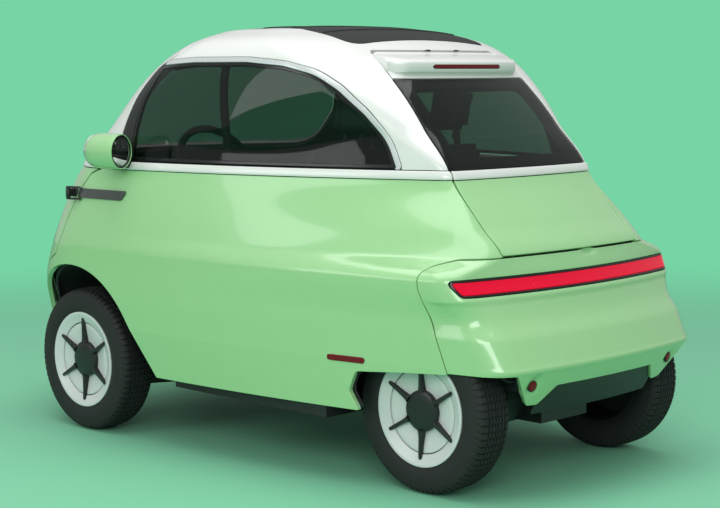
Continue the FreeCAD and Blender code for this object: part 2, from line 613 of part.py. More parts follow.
shared = {
    "pillar_trims": [pillar_left, post_left], "front_housings": [front_housing],
    "rear_housings": [rear_housing], "rear_arms": [rear_arm],
    "belt_strips": [strip_left], "pod_lenses": [lens], "mirror_glasses": [mirror_disc],
    "reflectors": [marker, reflector], "front_suspension": [low_arm, strut],
}
for name, shapes in shared.items():
    export(name, *shapes, *[mirror(s) for s in shapes])

singles = {
    "nose_panel": nose_panel, "tail_panel": tail_panel, "diffuser": diffuser,
    "light_bar": light_bar, "light_bar_frame": light_bar_frame, "roof": roof, "sunroof": sunroof,
    "door_panel": door_panel, "door_frame": door_frame, "windscreen": windscreen,
    "hatch_panel": hatch_panel, "hatch_strip": hatch_strip, "hatch_frame": hatch_frame,
    "rear_glass": rear_glass, "spoiler": spoiler, "brake_lamp": brake_lamp,
    "floor_pan": floor_pan, "boot_floor": boot_floor, "drive_unit": drive_unit,
    "seat_base": seat_base, "seat_cushion": cushion, "seat_back": backrest,
    "steering_wheel": steering_wheel, "steering_column": column, "dashboard": dash,
    "door_hinge": door_hinge,
}
for name, shape in singles.items():
    export(name, solid_of(shape))
export("headrests", headrest(-240), headrest(240))
export("side_bars", hinge_bar, mirror(side_bar))
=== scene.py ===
import math
import bpy
import bmesh
import numpy as np
from mathutils import Matrix, Vector


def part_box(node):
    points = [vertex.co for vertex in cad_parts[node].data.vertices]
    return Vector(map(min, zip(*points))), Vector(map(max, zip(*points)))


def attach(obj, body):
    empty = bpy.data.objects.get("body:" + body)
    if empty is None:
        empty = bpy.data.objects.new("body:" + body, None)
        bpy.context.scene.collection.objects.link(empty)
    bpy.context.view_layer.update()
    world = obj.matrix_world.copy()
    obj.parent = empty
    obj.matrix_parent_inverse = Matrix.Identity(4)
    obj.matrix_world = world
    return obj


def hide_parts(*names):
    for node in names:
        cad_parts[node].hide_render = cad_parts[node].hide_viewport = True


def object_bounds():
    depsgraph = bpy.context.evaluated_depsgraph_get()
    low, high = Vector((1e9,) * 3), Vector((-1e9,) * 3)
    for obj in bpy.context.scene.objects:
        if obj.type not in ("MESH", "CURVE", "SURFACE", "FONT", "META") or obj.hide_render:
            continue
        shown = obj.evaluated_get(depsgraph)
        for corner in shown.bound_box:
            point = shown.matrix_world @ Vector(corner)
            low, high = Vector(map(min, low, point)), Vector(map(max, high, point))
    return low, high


# Microcar: painted body shell, glass, lamps, wheels and cabin.
# Lengths are in millimetres until a mesh is made, then in metres.
# Front towards -Y, +Z up, the car's left side towards +X.

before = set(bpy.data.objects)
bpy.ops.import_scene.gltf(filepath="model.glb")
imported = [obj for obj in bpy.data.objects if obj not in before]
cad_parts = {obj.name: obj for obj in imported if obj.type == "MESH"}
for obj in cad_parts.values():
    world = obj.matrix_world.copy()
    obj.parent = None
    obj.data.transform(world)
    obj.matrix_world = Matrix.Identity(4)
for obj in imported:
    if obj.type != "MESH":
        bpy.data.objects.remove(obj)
cad_low, cad_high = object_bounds()


# ---------------------------------------------------------------- sizes from the frame
def ends(node, axis):
    """Lowest and highest coordinate of a CAD node along an axis, in mm."""
    low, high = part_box(node)
    return low["xyz".index(axis)] * 1000, high["xyz".index(axis)] * 1000


def middle(node, axis):
    return sum(ends(node, axis)) / 2


front_y, rear_y = middle("front_tyre_left", "y"), middle("rear_tyre_left", "y")
front_x, rear_x = middle("front_tyre_left", "x"), middle("rear_tyre_left", "x")
axle_z = middle("front_tyre_left", "z")
tyre_r = (ends("front_tyre_left", "z")[1] - ends("front_tyre_left", "z")[0]) / 2
tyre_w = ends("front_tyre_left", "x")[1] - ends("front_tyre_left", "x")[0]
front_end, rear_end = cad_low[1] * 1000, cad_high[1] * 1000
half_width = ends("side_panel_left", "x")[1]
belt_z, strip_top = ends("belt_strips", "z")
hatch_low_z, hatch_top_z = ends("hatch_panel", "z")[0], belt_z + 413
lamp_z0, lamp_z1 = ends("light_bar", "z")
lamp_half = ends("light_bar", "x")[1]

crown_z = cad_high[2] * 1000 - 5   # skin under the roof canvas's ribs
panel_depth = 18.0             # painted skin with its folded edge
edge_r = 2.2                   # rounding of a panel's edge
shut_gap, hatch_gap, seam_gap = 6.0, 5.0, 3.0
arch_r = tyre_r + 105.5
arch_z = axle_z - 10.5
arch_back = 452.0
door_r = arch_r + 52.0
window_top_z = belt_z + 323.0
reflector_x, reflector_z = 361.0, 369.0
fine_counts = (44, 36, 140, 26, 58)   # points along nose, front corner, side, rear corner and tail

# ---------------------------------------------------------------- body surface
# One row per height: plan outline of tangent arcs (nose, front corner, side,
# rear corner, tail). Columns: height (from the ground, then over the belt), nose
# in from the front end, its radius, front corner radius, tuck from the half width,
# widest point from the middle, side radius, rear corner radius, tail radius,
# tail in from the rear end.
LOW = [(257, 94.5, 800, 300, 38.5, -450, 7000, 130, 2600, 84.5),
       (420, 0.5, 850, 330, 7.5, -600, 7500, 130, 3000, 0),
       (560, 0, 850, 390, 0, -620, 7500, 130, 2800, 69.5),
       (690, 43.5, 850, 400, 1.5, -620, 8400, 90, 2300, 144.5),
       (760, 76.5, 840, 385, 9.5, -620, 5200, 170, 2800, 158),
       (840, 121.5, 830, 365, 22.5, -620, 4500, 90, 2300, 232),
       (belt_z, 217.5, 800, 340, 55.5, -600, 3600, 55, 2500, 359)]
HIGH = [(33, 249.5, 780, 335, 66.5, -590, 3600, 60, 2500, 376),
        (163, 374.5, 730, 325, 84.5, -450, 3000, 200, 1450, 474.5),
        (293, 489.5, 670, 305, 111.5, -300, 2800, 260, 1400, 599.5),
        (393, 619.5, 620, 280, 154.5, -150, 2400, 280, 1300, 719.5),
        (453, 739.5, 560, 260, 216.5, -60, 2200, 280, 1200, 839.5),
        (493, 889.5, 500, 220, 336.5, 0, 1500, 220, 900, 989.5)]


def smooth(x, y, at):
    """Monotone cubic through the rows of y at x, read at the places in at."""
    step = np.diff(x)[:, None]
    slope = np.diff(y, axis=0) / step
    same = slope[:-1] * slope[1:] > 0
    w1, w2 = 2 * step[1:] + step[:-1], step[1:] + 2 * step[:-1]
    before, after = np.where(same, slope[:-1], 1), np.where(same, slope[1:], 1)
    tangent = np.vstack([slope[:1], np.where(same, (w1 + w2) / (w1 / before + w2 / after), 0), slope[-1:]])
    i = np.clip(np.searchsorted(x, at) - 1, 0, len(x) - 2)
    h = step[i]
    t = (at - x[i])[:, None] / h
    return ((2 * t**3 - 3 * t**2 + 1) * y[i] + (t**3 - 2 * t**2 + t) * h * tangent[i]
            + (3 * t**2 - 2 * t**3) * y[i + 1] + (t**3 - t**2) * h * tangent[i + 1])


def corner_centres(c1, d1, c2, d2, rear):
    """Centres of the corner arcs: distance d1 from c1 and d2 from c2, outermost."""
    dx, dy = c2[0] - c1[0], c2[1] - c1[1]
    d = np.hypot(dx, dy)
    along = (d1 * d1 - d2 * d2 + d * d) / (2 * d)
    across = np.sqrt(np.maximum(d1 * d1 - along * along, 0))
    mx, my = c1[0] + along * dx / d, c1[1] + along * dy / d
    a = np.array([mx - across * dy / d, my + across * dx / d])
    b = np.array([mx + across * dy / d, my - across * dx / d])
    pick = a[0] > b[0]
    level = np.abs(a[0] - b[0]) < 1
    further = a[1] > b[1] if rear else a[1] < b[1]
    return np.where(np.where(level, further, pick), a, b)


def outlines(rows, counts):
    """Points of the closed plan outline of each row, from the nose by the left side."""
    z, nose, nose_r, front_r, tuck, side_y, side_r, rear_r, tail_r, tail = rows.T
    zero = np.zeros_like(z)
    nose_c = np.array([zero, front_end + nose + nose_r])
    side_c = np.array([half_width - tuck - side_r, side_y])
    tail_c = np.array([zero, rear_end - tail - tail_r])
    front_c = corner_centres(nose_c, nose_r - front_r, side_c, side_r - front_r, False)
    rear_c = corner_centres(tail_c, tail_r - rear_r, side_c, side_r - rear_r, True)

    def heading(a, b):
        return np.arctan2(b[0] - a[0], a[1] - b[1])

    turns = [zero, heading(nose_c, front_c), heading(side_c, front_c),
             heading(side_c, rear_c), heading(tail_c, rear_c), zero + math.pi]
    arcs = [(nose_c, nose_r), (front_c, front_r), (side_c, side_r), (rear_c, rear_r), (tail_c, tail_r)]
    xs, ys = [], []
    for (centre, radius), start, end, count in zip(arcs, turns, turns[1:], counts):
        t = np.arange(count) / count
        angle = start[:, None] + (end - start)[:, None] * t
        xs.append(centre[0][:, None] + radius[:, None] * np.sin(angle))
        ys.append(centre[1][:, None] - radius[:, None] * np.cos(angle))
    xs.append(zero[:, None])
    ys.append((rear_end - tail)[:, None])
    x, y = np.hstack(xs), np.hstack(ys)
    x, y = np.hstack([x, -x[:, -2:0:-1]]), np.hstack([y, y[:, -2:0:-1]])
    return np.stack([x, y, np.repeat(z[:, None], x.shape[1], 1)], 2)


def grid_normals(points):
    """Outward unit normals of a ring grid, by differences along and across it."""
    around = np.roll(points, -1, 1) - np.roll(points, 1, 1)
    up = np.gradient(points, axis=0)
    normals = np.cross(around, up)
    return normals / np.maximum(np.linalg.norm(normals, axis=2, keepdims=True), 1e-9)


def bump(value, centre, reach):
    """Smooth hill of height 1 at centre, 0 beyond reach."""
    t = np.clip(np.abs(value - centre) / reach, 0, 1)
    return (1 - t * t) ** 2


def rise(value, start, end):
    """Smooth step from 0 at start to 1 at end."""
    t = np.clip((value - start) / (end - start), 0, 1)
    return t * t * (3 - 2 * t)


# How far features stand out of the plain skin, in mm: below 0 they go in.
waist_out, shelf_out, scoop_out, dish_out, notch_out = 5.0, 7.0, -11.0, -10.0, -11.0


def relief(p):
    """How far the skin stands out from its plain sections, in mm."""
    x, y, z = p[..., 0], p[..., 1], p[..., 2]
    inside_belt = np.clip(1 - ((z - (belt_z + strip_top) / 2) / ((strip_top - belt_z) / 2)) ** 2, 0, 1)
    strip = waist_out * np.sqrt(inside_belt)
    tail = rise(y, rear_y + 40, rear_y + 130) * rise(-np.abs(x), -lamp_half - 75, -lamp_half + 15)
    shelf = shelf_out * rise(z, lamp_z0 - 34, lamp_z0 - 16) * rise(-z, -lamp_z1 - 55, -lamp_z1 - 8)
    scoop = scoop_out * bump(z, lamp_z0 - 78, 62)
    from_dish = np.hypot(np.abs(x) - reflector_x, (z - reflector_z) * 0.8)
    dishes = dish_out * bump(from_dish, 0, 36) * (y > rear_y + 150)
    notch = notch_out * bump(x + 55, 0, 48) * bump(z, hatch_low_z - 13, 13) * (y > rear_y)
    return strip + tail * (shelf + scoop) + dishes + notch


def section_rows():
    """The rows and their places along the skin; two rows are added that keep the tail's crease tight."""
    rows = np.array(LOW + [(row[0] + belt_z,) + row[1:] for row in HIGH], float)
    rows = np.insert(rows, 1, rows[1] + (rows[0] - rows[1]) * 0.1, 0)
    rows = np.insert(rows, 3, rows[2] + (rows[3] - rows[2]) * 0.12, 0)
    run = np.hypot(np.diff(rows[:, 0]), np.diff(rows[:, 4]))
    return rows, np.concatenate([[0], np.cumsum(run)])


def body_skin(spacing, counts):
    """The outer skin as (points, normals, triangles)."""
    rows, place = section_rows()
    at = np.arange(0, place[-1], spacing)
    heights = smooth(place, rows[:, :1], at)[:, 0]
    fine = [(330, 445, 0.6), (lamp_z0 - 150, lamp_z1 + 75, 0.45), (belt_z - 4, strip_top + 4, 0.3)]
    extra = [np.interp(np.arange(low, high, spacing * share), heights, at) for low, high, share in fine]
    at = np.unique(np.round(np.concatenate([at, place[-1:], *extra]), 1))
    points = outlines(smooth(place, rows, at), counts)
    top = points[-1]
    crown = np.array([0, (top[:, 1].min() + top[:, 1].max()) / 2, crown_z])
    caps = []
    for share in np.linspace(1, 0, max(int(400 / spacing), 6))[1:-1]:
        ring = crown + (top - crown) * share
        ring[:, 2] = top[0, 2] + (crown_z - top[0, 2]) * (1 - share ** 3)
        caps.append(ring)
    points = np.vstack([points, np.array(caps)])
    points = points + grid_normals(points) * relief(points)[..., None]
    normals = grid_normals(points)
    rings, around = points.shape[:2]
    index = np.arange(rings * around).reshape(rings, around)
    a, b = index[:-1], np.roll(index[:-1], -1, 1)
    c, d = np.roll(index[1:], -1, 1), index[1:]
    triangles = np.vstack([np.stack([a, b, c], 2).reshape(-1, 3), np.stack([a, c, d], 2).reshape(-1, 3)])
    pole = index.size
    last = index[-1]
    fan = np.stack([last, np.roll(last, -1), np.full(around, pole)], 1)
    points = np.vstack([points.reshape(-1, 3), crown])
    normals = np.vstack([normals.reshape(-1, 3), [0, 0, 1]])
    return points, normals, np.vstack([triangles, fan])


# ---------------------------------------------------------------- cutting the skin
snap = 0.12         # a point this near to the cutting line, in mm, counts as on it
merge_grid = 0.05   # grid, in mm, on which points at the same place are merged


def clip(skin, distance):
    """The part of a skin where distance is not above 0, cut along the line where it is 0."""
    points, normals, triangles = skin
    d = np.where(np.abs(distance) < snap, 0.0, distance)
    keep = d <= 0
    count = keep[triangles].sum(1)
    whole = triangles[count == 3]
    split = triangles[(count == 1) | (count == 2)]
    if len(split):
        single = np.where(keep[split].sum(1) == 1, 1, 0)
        odd = np.argmax(keep[split] == single[:, None].astype(bool), 1)
        rows = np.arange(len(split))
        a, b, c = [split[rows, (odd + k) % 3] for k in range(3)]
        pairs = np.sort(np.vstack([np.stack([a, b], 1), np.stack([a, c], 1)]), 1)
        codes, where = np.unique(pairs[:, 0] * len(points) + pairs[:, 1], return_inverse=True)
        unique = np.stack([codes // len(points), codes % len(points)], 1)
        t = (d[unique[:, 0]] / (d[unique[:, 0]] - d[unique[:, 1]]))[:, None]
        new = points[unique[:, 0]] * (1 - t) + points[unique[:, 1]] * t
        new_n = normals[unique[:, 0]] * (1 - t) + normals[unique[:, 1]] * t
        new_n /= np.linalg.norm(new_n, axis=1, keepdims=True)
        ab, ac = where[:len(split)] + len(points), where[len(split):] + len(points)
        one = single == 1
        tips = np.stack([a, ab, ac], 1)[one]
        quads = np.vstack([np.stack([ab, b, c], 1)[~one], np.stack([ab, c, ac], 1)[~one]])
        points, normals = np.vstack([points, new]), np.vstack([normals, new_n])
        whole = np.vstack([whole, tips, quads])
    used = np.zeros(len(points), bool)
    used[whole.reshape(-1)] = True
    triangles = (np.cumsum(used) - 1)[whole]
    points, normals = points[used], normals[used]
    # merge points that fell on the same place, and drop triangles without area
    keys = np.round(points / merge_grid).astype(np.int64) + 2 ** 19
    _, first, back = np.unique(keys @ [1, 2 ** 20, 2 ** 40], return_index=True, return_inverse=True)
    triangles = back.reshape(-1)[triangles]
    good = ((triangles[:, 0] != triangles[:, 1]) & (triangles[:, 1] != triangles[:, 2])
            & (triangles[:, 2] != triangles[:, 0]))
    return points[first], normals[first], triangles[good]


def cut(skin, *tests):
    """Clip by each test in turn. A test gives the distance of points from its region."""
    for test in tests:
        skin = clip(skin, test(skin[0]) + edge_r)
    return skin


def moved(skin, out):
    """The skin moved along its normals."""
    return skin[0] + skin[1] * out, skin[1], skin[2]


def rim(skin):
    """Edge of a skin: its directed edges and the outward way at each of its points."""
    points, normals, triangles = skin
    edges = np.vstack([triangles[:, [0, 1]], triangles[:, [1, 2]], triangles[:, [2, 0]]])
    n = len(points)
    forward, backward = edges[:, 0] * n + edges[:, 1], edges[:, 1] * n + edges[:, 0]
    edges = edges[~np.isin(forward, backward)]
    along = points[edges[:, 1]] - points[edges[:, 0]]
    along /= np.maximum(np.linalg.norm(along, axis=1, keepdims=True), 1e-9)
    ways = np.zeros_like(points)
    for side in (0, 1):
        way = np.cross(along, normals[edges[:, side]])
        np.add.at(ways, edges[:, side], way / np.maximum(np.linalg.norm(way, axis=1, keepdims=True), 1e-9))
    size = np.linalg.norm(ways, axis=1, keepdims=True)
    ways = ways / np.maximum(size, 1e-9) * np.minimum(2 / np.maximum(size, 1e-9), 1.6)
    return edges, ways


def shell_of(skin, depth):
    """Closed panel: the skin, a rounded edge, a fold down to depth and an inner face."""
    points, normals, triangles = skin
    edges, ways = rim(skin)
    on_edge = np.unique(edges)
    to_ring = np.full(len(points), -1)
    to_ring[on_edge] = np.arange(len(on_edge))
    p, n, w = points[on_edge], normals[on_edge], ways[on_edge]
    rings_p, rings_n = [], []
    for angle in (30, 60, 90):
        s, c = math.sin(math.radians(angle)), math.cos(math.radians(angle))
        rings_p.append(p + w * edge_r * s - n * edge_r * (1 - c))
        rings_n.append(n * c + w * s)
    rings_p += [p + w * edge_r - n * depth, p + w * edge_r - n * depth]
    rings_n += [w, -n]
    every_p = [points, points - normals * depth] + rings_p
    every_n = [normals, -normals] + rings_n
    count, size = len(points), len(on_edge)
    a, b = to_ring[edges[:, 0]], to_ring[edges[:, 1]]
    bases = [2 * count + size * k for k in range(len(rings_p))]
    strips = [(edges[:, 0], edges[:, 1], bases[0] + a, bases[0] + b)]
    strips += [(low + a, low + b, high + a, high + b) for low, high in zip(bases[:3], bases[1:4])]
    strips += [(bases[4] + a, bases[4] + b, count + edges[:, 0], count + edges[:, 1])]
    faces = [triangles, triangles[:, ::-1] + count]
    for upper_a, upper_b, lower_a, lower_b in strips:
        faces.append(np.stack([upper_a, lower_a, lower_b], 1))
        faces.append(np.stack([upper_a, lower_b, upper_b], 1))
    return np.vstack(every_p), np.vstack(every_n), np.vstack(faces)


# ---------------------------------------------------------------- outlines of the panels
def rounded(points, corner):
    """Closed outline through the points with arcs of about the given radius at its corners."""
    out = []
    corners = corner if isinstance(corner, (list, tuple)) else [corner] * len(points)
    for i, point in enumerate(points):
        v = np.array(point, float)
        before, after = np.array(points[i - 1], float) - v, np.array(points[(i + 1) % len(points)], float) - v
        la, lb = np.linalg.norm(before), np.linalg.norm(after)
        before, after = before / la, after / lb
        turn = math.acos(np.clip(before @ after, -1, 1))
        reach = min(corners[i] / max(math.tan(turn / 2), 1e-6), 0.45 * la, 0.45 * lb)
        if reach < 0.5 or turn > math.radians(178):
            out.append(v)
            continue
        for t in np.linspace(0, 1, 9):
            start, end = v + before * reach, v + after * reach
            out.append(start * (1 - t) ** 2 + v * 2 * t * (1 - t) + end * t * t)
    return np.array(out)


def from_outline(outline, a, b):
    """Signed distance of the places (a, b) from a closed outline, negative inside."""
    best = np.full(a.shape, 1e18)
    inside = np.zeros(a.shape, bool)
    for (ax, ay), (bx, by) in zip(outline, np.roll(outline, -1, 0)):
        ex, ey = bx - ax, by - ay
        size = ex * ex + ey * ey
        if size < 1e-9:
            continue
        t = np.clip(((a - ax) * ex + (b - ay) * ey) / size, 0, 1)
        best = np.minimum(best, (a - ax - t * ex) ** 2 + (b - ay - t * ey) ** 2)
        if ay != by:
            inside ^= ((ay > b) != (by > b)) & (a < ex * (b - ay) / ey + ax)
    return np.where(inside, -1, 1) * np.sqrt(best)


far = 3000.0
views = {"side": (1, 2), "rear": (0, 2), "plan": (0, 1)}


def region(view, points, corner=0.0):
    """A test: signed distance of points from an outline seen from the side, rear or above."""
    outline = rounded(points, corner)
    i, j = views[view]
    return lambda p: from_outline(outline, p[:, i], p[:, j])


def mirrored(points):
    """An outline of both sides from its points on one side."""
    return points + [(-x, z) for x, z in reversed(points)]


def box_outline(low_a, high_a, low_b, high_b):
    return [(low_a, low_b), (high_a, low_b), (high_a, high_b), (low_a, high_b)]


def outside(test, gap=0.0):
    return lambda p: gap - test(p)


def grown(test, gap):
    return lambda p: test(p) - gap


def over(axis, value):
    """The half space above a value along an axis."""
    i = "xyz".index(axis)
    return lambda p: value - p[:, i]


def under(axis, value):
    i = "xyz".index(axis)
    return lambda p: p[:, i] - value


def both(*tests):
    """Where all tests hold."""
    return lambda p: np.max([test(p) for test in tests], axis=0)


def either(*tests):
    return lambda p: np.min([test(p) for test in tests], axis=0)


def on_arch(degrees):
    a = math.radians(degrees)
    return front_y - door_r * math.cos(a), arch_z + door_r * math.sin(a)


door_low_z = 400.0
door = region("side", [(-far, door_low_z), *[on_arch(a) for a in (19.5, 34, 49, 62, 74)],
                       (-758, 747), (-717, 825), (-676, 901), (-611, belt_z - 16), (-475, strip_top),
                       (-455, belt_z + 140), (-425, belt_z + 255), (-370, belt_z + 369),
                       (-250, belt_z + 413), (-250, 2000), (-far, 2000)], 30)
hatch_side = [(353, hatch_low_z), (350, strip_top + 20), (332, window_top_z), (318, hatch_top_z)]
hatch = both(region("rear", mirrored(hatch_side), [10, 40, 40, 30, 30, 40, 40, 10]), over("y", 100))
tail_points = [(rear_y + 143, 100), (rear_y + 143, 412), (rear_y + 97, 546), (rear_y + 56, 665),
               (rear_y + 51, 728), (rear_y + 120, 752), (rear_y + 700, 756), (rear_y + 700, 100)]
tail_zone = region("side", tail_points, [0, 30, 60, 60, 55, 80, 0, 0])
window = region("side", [(-404, strip_top + 4), (-390, belt_z + 140), (-360, belt_z + 255),
                         (-308, belt_z + 372), (-126, belt_z + 381), (130, belt_z + 380),
                         (292, belt_z + 366), (416, belt_z + 337), (500, belt_z + 287),
                         (590, belt_z + 208), (664, belt_z + 118), (698, strip_top + 4)],
                [8, 60, 90, 14, 250, 250, 250, 250, 250, 250, 250, 6])
slope = math.radians(33)
arch_cut = either(
    region("side", [(front_y - arch_r, 0), (front_y - arch_r, arch_z), (front_y, arch_z),
                    (front_y + arch_r * math.cos(slope), arch_z + arch_r * math.sin(slope)),
                    (front_y + arch_back, arch_z), (front_y + arch_back, 0)]),
    lambda p: np.hypot(p[:, 1] - front_y, p[:, 2] - arch_z) - arch_r)
rear_cut = region("side", [(rear_y - 192, 0), (rear_y - 192, 262), (rear_y - 222, 317), (rear_y - 192, 383),
                           (rear_y - 10, 396), (rear_y + 314, 412), (far, 412), (far, 0)], 14)
tail_cut = region("rear", mirrored([(-far, 0), (-far, 412), (-445, 408), (-352, 300), (-306, 297),
                                    (-250, 357)]), 12)
nose_zone = both(under("z", door_low_z - shut_gap), under("y", front_y - arch_r + 40))
pillar_zone = both(under("y", -291), under("z", belt_z + 381))
sunroof_zone = region("plan", [(-330, -206), (330, -206), (350, 414), (-350, 414)], 60)
screen = region("rear", mirrored([(560, belt_z + 62), (545, belt_z + 200), (480, belt_z + 350),
                                  (400, belt_z + 436)]), 60)
lamp_seen = region("rear", [(24 - lamp_half, lamp_z0 + 3), (lamp_half - 24, lamp_z0 + 3),
                            (lamp_half - 2, lamp_z1 - 3), (2 - lamp_half, lamp_z1 - 3)], 7)
upper = over("z", strip_top + 1)
lower = under("z", belt_z - 1)
fixed = both(outside(door, shut_gap), outside(hatch, hatch_gap))
behind = over("y", rear_y)


# ---------------------------------------------------------------- materials
def colour(hex_code):
    """sRGB hex to linear RGBA."""
    values = [int(hex_code[i:i + 2], 16) / 255 for i in (1, 3, 5)]
    return [v / 12.92 if v <= 0.04045 else ((v + 0.055) / 1.055) ** 2.4 for v in values] + [1.0]


def node(tree, kind, links=None, settings=None, **inputs):
    """Add a node: settings are its properties, inputs its socket values, links its sources."""
    made = tree.nodes.new(kind)
    for key, value in (settings or {}).items():
        setattr(made, key, value)
    for key, value in inputs.items():
        made.inputs[key.replace("_", " ")].default_value = value
    for key, source in (links or {}).items():
        tree.links.new(source, made.inputs[key])
    return made


def material(name, base, rough=(0.3, 0.3), grain_mm=40.0, bump_mm=0.0, bump_grain_mm=1.0,
             tint=None, **sockets):
    """A material with slight variation of colour and roughness at a real grain size."""
    made = bpy.data.materials.new(name)
    made.use_nodes = True
    tree = made.node_tree
    shader = tree.nodes["Principled BSDF"]
    for key, value in sockets.items():
        shader.inputs[key.replace("_", " ")].default_value = value
    place = node(tree, "ShaderNodeTexCoord").outputs["Object"]
    mottle = node(tree, "ShaderNodeTexNoise", {"Vector": place}, Scale=1000 / grain_mm, Detail=3.0)
    shade = node(tree, "ShaderNodeMix", {"Factor": mottle.outputs["Fac"]}, {"data_type": "RGBA"})
    shade.inputs["A"].default_value = colour(base)
    shade.inputs["B"].default_value = colour(tint or base)
    tree.links.new(shade.outputs["Result"], shader.inputs["Base Color"])
    spread = node(tree, "ShaderNodeMapRange", {"Value": mottle.outputs["Fac"]})
    spread.inputs["To Min"].default_value, spread.inputs["To Max"].default_value = rough
    tree.links.new(spread.outputs["Result"], shader.inputs["Roughness"])
    if bump_mm:
        fine = node(tree, "ShaderNodeTexNoise", {"Vector": place}, Scale=1000 / bump_grain_mm, Detail=2.0)
        relief_node = node(tree, "ShaderNodeBump", {"Height": fine.outputs["Fac"]},
                           Distance=bump_mm / 1000, Strength=1.0)
        tree.links.new(relief_node.outputs["Normal"], shader.inputs["Normal"])
    return made


# Solid pastel green enamel under clear lacquer: even colour, gloss, faint orange peel.
green = material("green_enamel", "#9bcb92", (0.18, 0.24), 60, 0.05, 9, "#9ecf95",
                 Coat_Weight=0.6, Coat_Roughness=0.05)
# White enamel of the roof and the waist strip: gloss, a trace of grey.
white = material("white_enamel", "#dededc", (0.15, 0.22), 60, 0.05, 9, "#e1e1df",
                 Coat_Weight=0.5, Coat_Roughness=0.05)
# Moulded black plastic: satin, fine grain.
plastic = material("moulded_plastic", "#17181a", (0.38, 0.52), 25, 0.08, 1.5, "#202224")
# Black ceramic print and seals beside the glass: smooth, nearly black.
border = material("glass_border", "#0b0c0d", (0.12, 0.2), 40, 0, 1, "#101112")
# Brushed anodised strip round the side window: pale grey metal, soft gloss.
trim_metal = material("anodised_strip", "#d9dadc", (0.22, 0.3), 10, 0.02, 0.8, "#cfd1d3", Metallic=0.35)
# Folding roof: black acrylic canvas, matt, 1.5 mm weave.
canvas = material("roof_canvas", "#1a1b1c", (0.85, 0.95), 20, 0.25, 1.5, "#232425")
# Steering wheel rim: black grained leather, soft sheen.
wheel_leather = material("wheel_leather", "#191a1b", (0.42, 0.52), 14, 0.15, 1.6, "#212223")
# Chromed posts of the headrests.
bright_steel = material("chromed_steel", "#c9cccf", (0.1, 0.16), 20, Metallic=1.0)


def glass_material(name, tint, share, rough=0.02):
    """Tinted pane: part of the light passes straight through, the rest meets a dark gloss."""
    made = bpy.data.materials.new(name)
    made.use_nodes = True
    tree = made.node_tree
    shader = tree.nodes["Principled BSDF"]
    shader.inputs["Base Color"].default_value = colour(tint)
    shader.inputs["Roughness"].default_value = rough
    shader.inputs["Alpha"].default_value = share
    shader.inputs["IOR"].default_value = 1.52
    return made


# Tinted safety glass: dark green-grey, one see-through pane.
glass = glass_material("tinted_glass", "#05100a", 0.5)


# ---------------------------------------------------------------- making pieces
def linked(name, data):
    """A new object in the scene."""
    made = bpy.data.objects.new(name, data)
    bpy.context.scene.collection.objects.link(made)
    return made


def plain_mesh(name, points, faces, finish=None):
    """A mesh from points in mm."""
    mesh = bpy.data.meshes.new(name)
    mesh.from_pydata((np.asarray(points, float) / 1000).tolist(), [], [list(map(int, f)) for f in faces])
    if finish:
        mesh.materials.append(finish)
    return mesh


def smooth_all(mesh):
    mesh.polygons.foreach_set("use_smooth", np.ones(len(mesh.polygons), bool))


def settle(name, mesh, nodes, body):
    """The mesh as a piece that rides on a body and takes the place of CAD nodes."""
    piece = linked(name, mesh)
    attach(piece, body)
    if nodes:
        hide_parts(*nodes)
    return piece


def add_piece(name, mesh, nodes=(), body="chassis", sharp=32):
    """A piece shaded smooth, with sharp edges above an angle."""
    smooth_all(mesh)
    mesh.set_sharp_from_angle(angle=math.radians(sharp))
    return settle(name, mesh, nodes, body)


def panel(name, tests, finish, nodes=(), body="chassis", depth=panel_depth, out=0.0,
          source=None):
    """A closed panel: the part of a skin that all tests leave, moved out along its normals."""
    points, normals, faces = shell_of(moved(cut(source or skin, *tests), out), depth)
    mesh = plain_mesh(name, points, faces, finish)
    smooth_all(mesh)
    mesh.normals_split_custom_set_from_vertices(normals.tolist())
    settle(name, mesh, nodes, body)


# ---------------------------------------------------------------- outer panels
skin = body_skin(9.0, fine_counts)
coarse = body_skin(26.0, (16, 14, 50, 12, 22))
halves = (("left", over("x", 0)), ("right", under("x", 0)))
both_sides = (("left", 1), ("right", -1))
arch_free = outside(arch_cut)
waist = [over("z", belt_z), under("z", strip_top)]

panel("nose_skin", [fixed, lower, nose_zone, arch_free], green, ["nose_panel"])
side_tests = [fixed, lower, outside(nose_zone, 0.5), outside(tail_zone, seam_gap), arch_free,
              outside(rear_cut)]
for side, half in halves:
    panel("side_skin_" + side, [*side_tests, half], green, ["side_panel_" + side])
panel("tail_skin", [fixed, lower, tail_zone, outside(both(tail_cut, behind)),
                    outside(both(grown(lamp_seen, 8.5), behind))], green, ["tail_panel"])
panel("door_skin", [door, lower], green, ["door_panel"], "front_door")
panel("door_top_skin", [door, over("z", belt_z), outside(screen)], white, ["door_frame"],
      "front_door")
panel("hatch_skin", [hatch, lower], green, ["hatch_panel"], "hatch")
panel("waist_strips", [fixed, *waist], white, ["belt_strips"])
panel("hatch_strip_skin", [hatch, *waist], white, ["hatch_strip"], "hatch")
window_strip = both(grown(window, 17), over("y", -300), upper)
panel("roof_skin", [fixed, upper, outside(window), outside(window_strip, 1.5), outside(pillar_zone, 2),
                    outside(sunroof_zone, 3)], white, ["roof"])
panel("window_strips", [fixed, window_strip, outside(window)], trim_metal, depth=10, out=1.0)
panel("pillar_skins", [fixed, upper, pillar_zone, outside(window)], plastic, nodes=["pillar_trims"])
panel("window_seals", [window, outside(grown(window, -12))], border, depth=12, out=-1.5)
for side, half in halves:
    panel("side_pane_" + side, [grown(window, -3), half], glass, ["side_glass_" + side],
          depth=5, out=-4)
panel("windscreen_pane", [door, screen, under("y", 0), over("z", strip_top)], glass,
      ["windscreen"], "front_door", 5, -4)
glass_band = both(upper, under("z", window_top_z - 1))
panel("rear_pane", [hatch, glass_band], glass, ["rear_glass"], "hatch", 5)
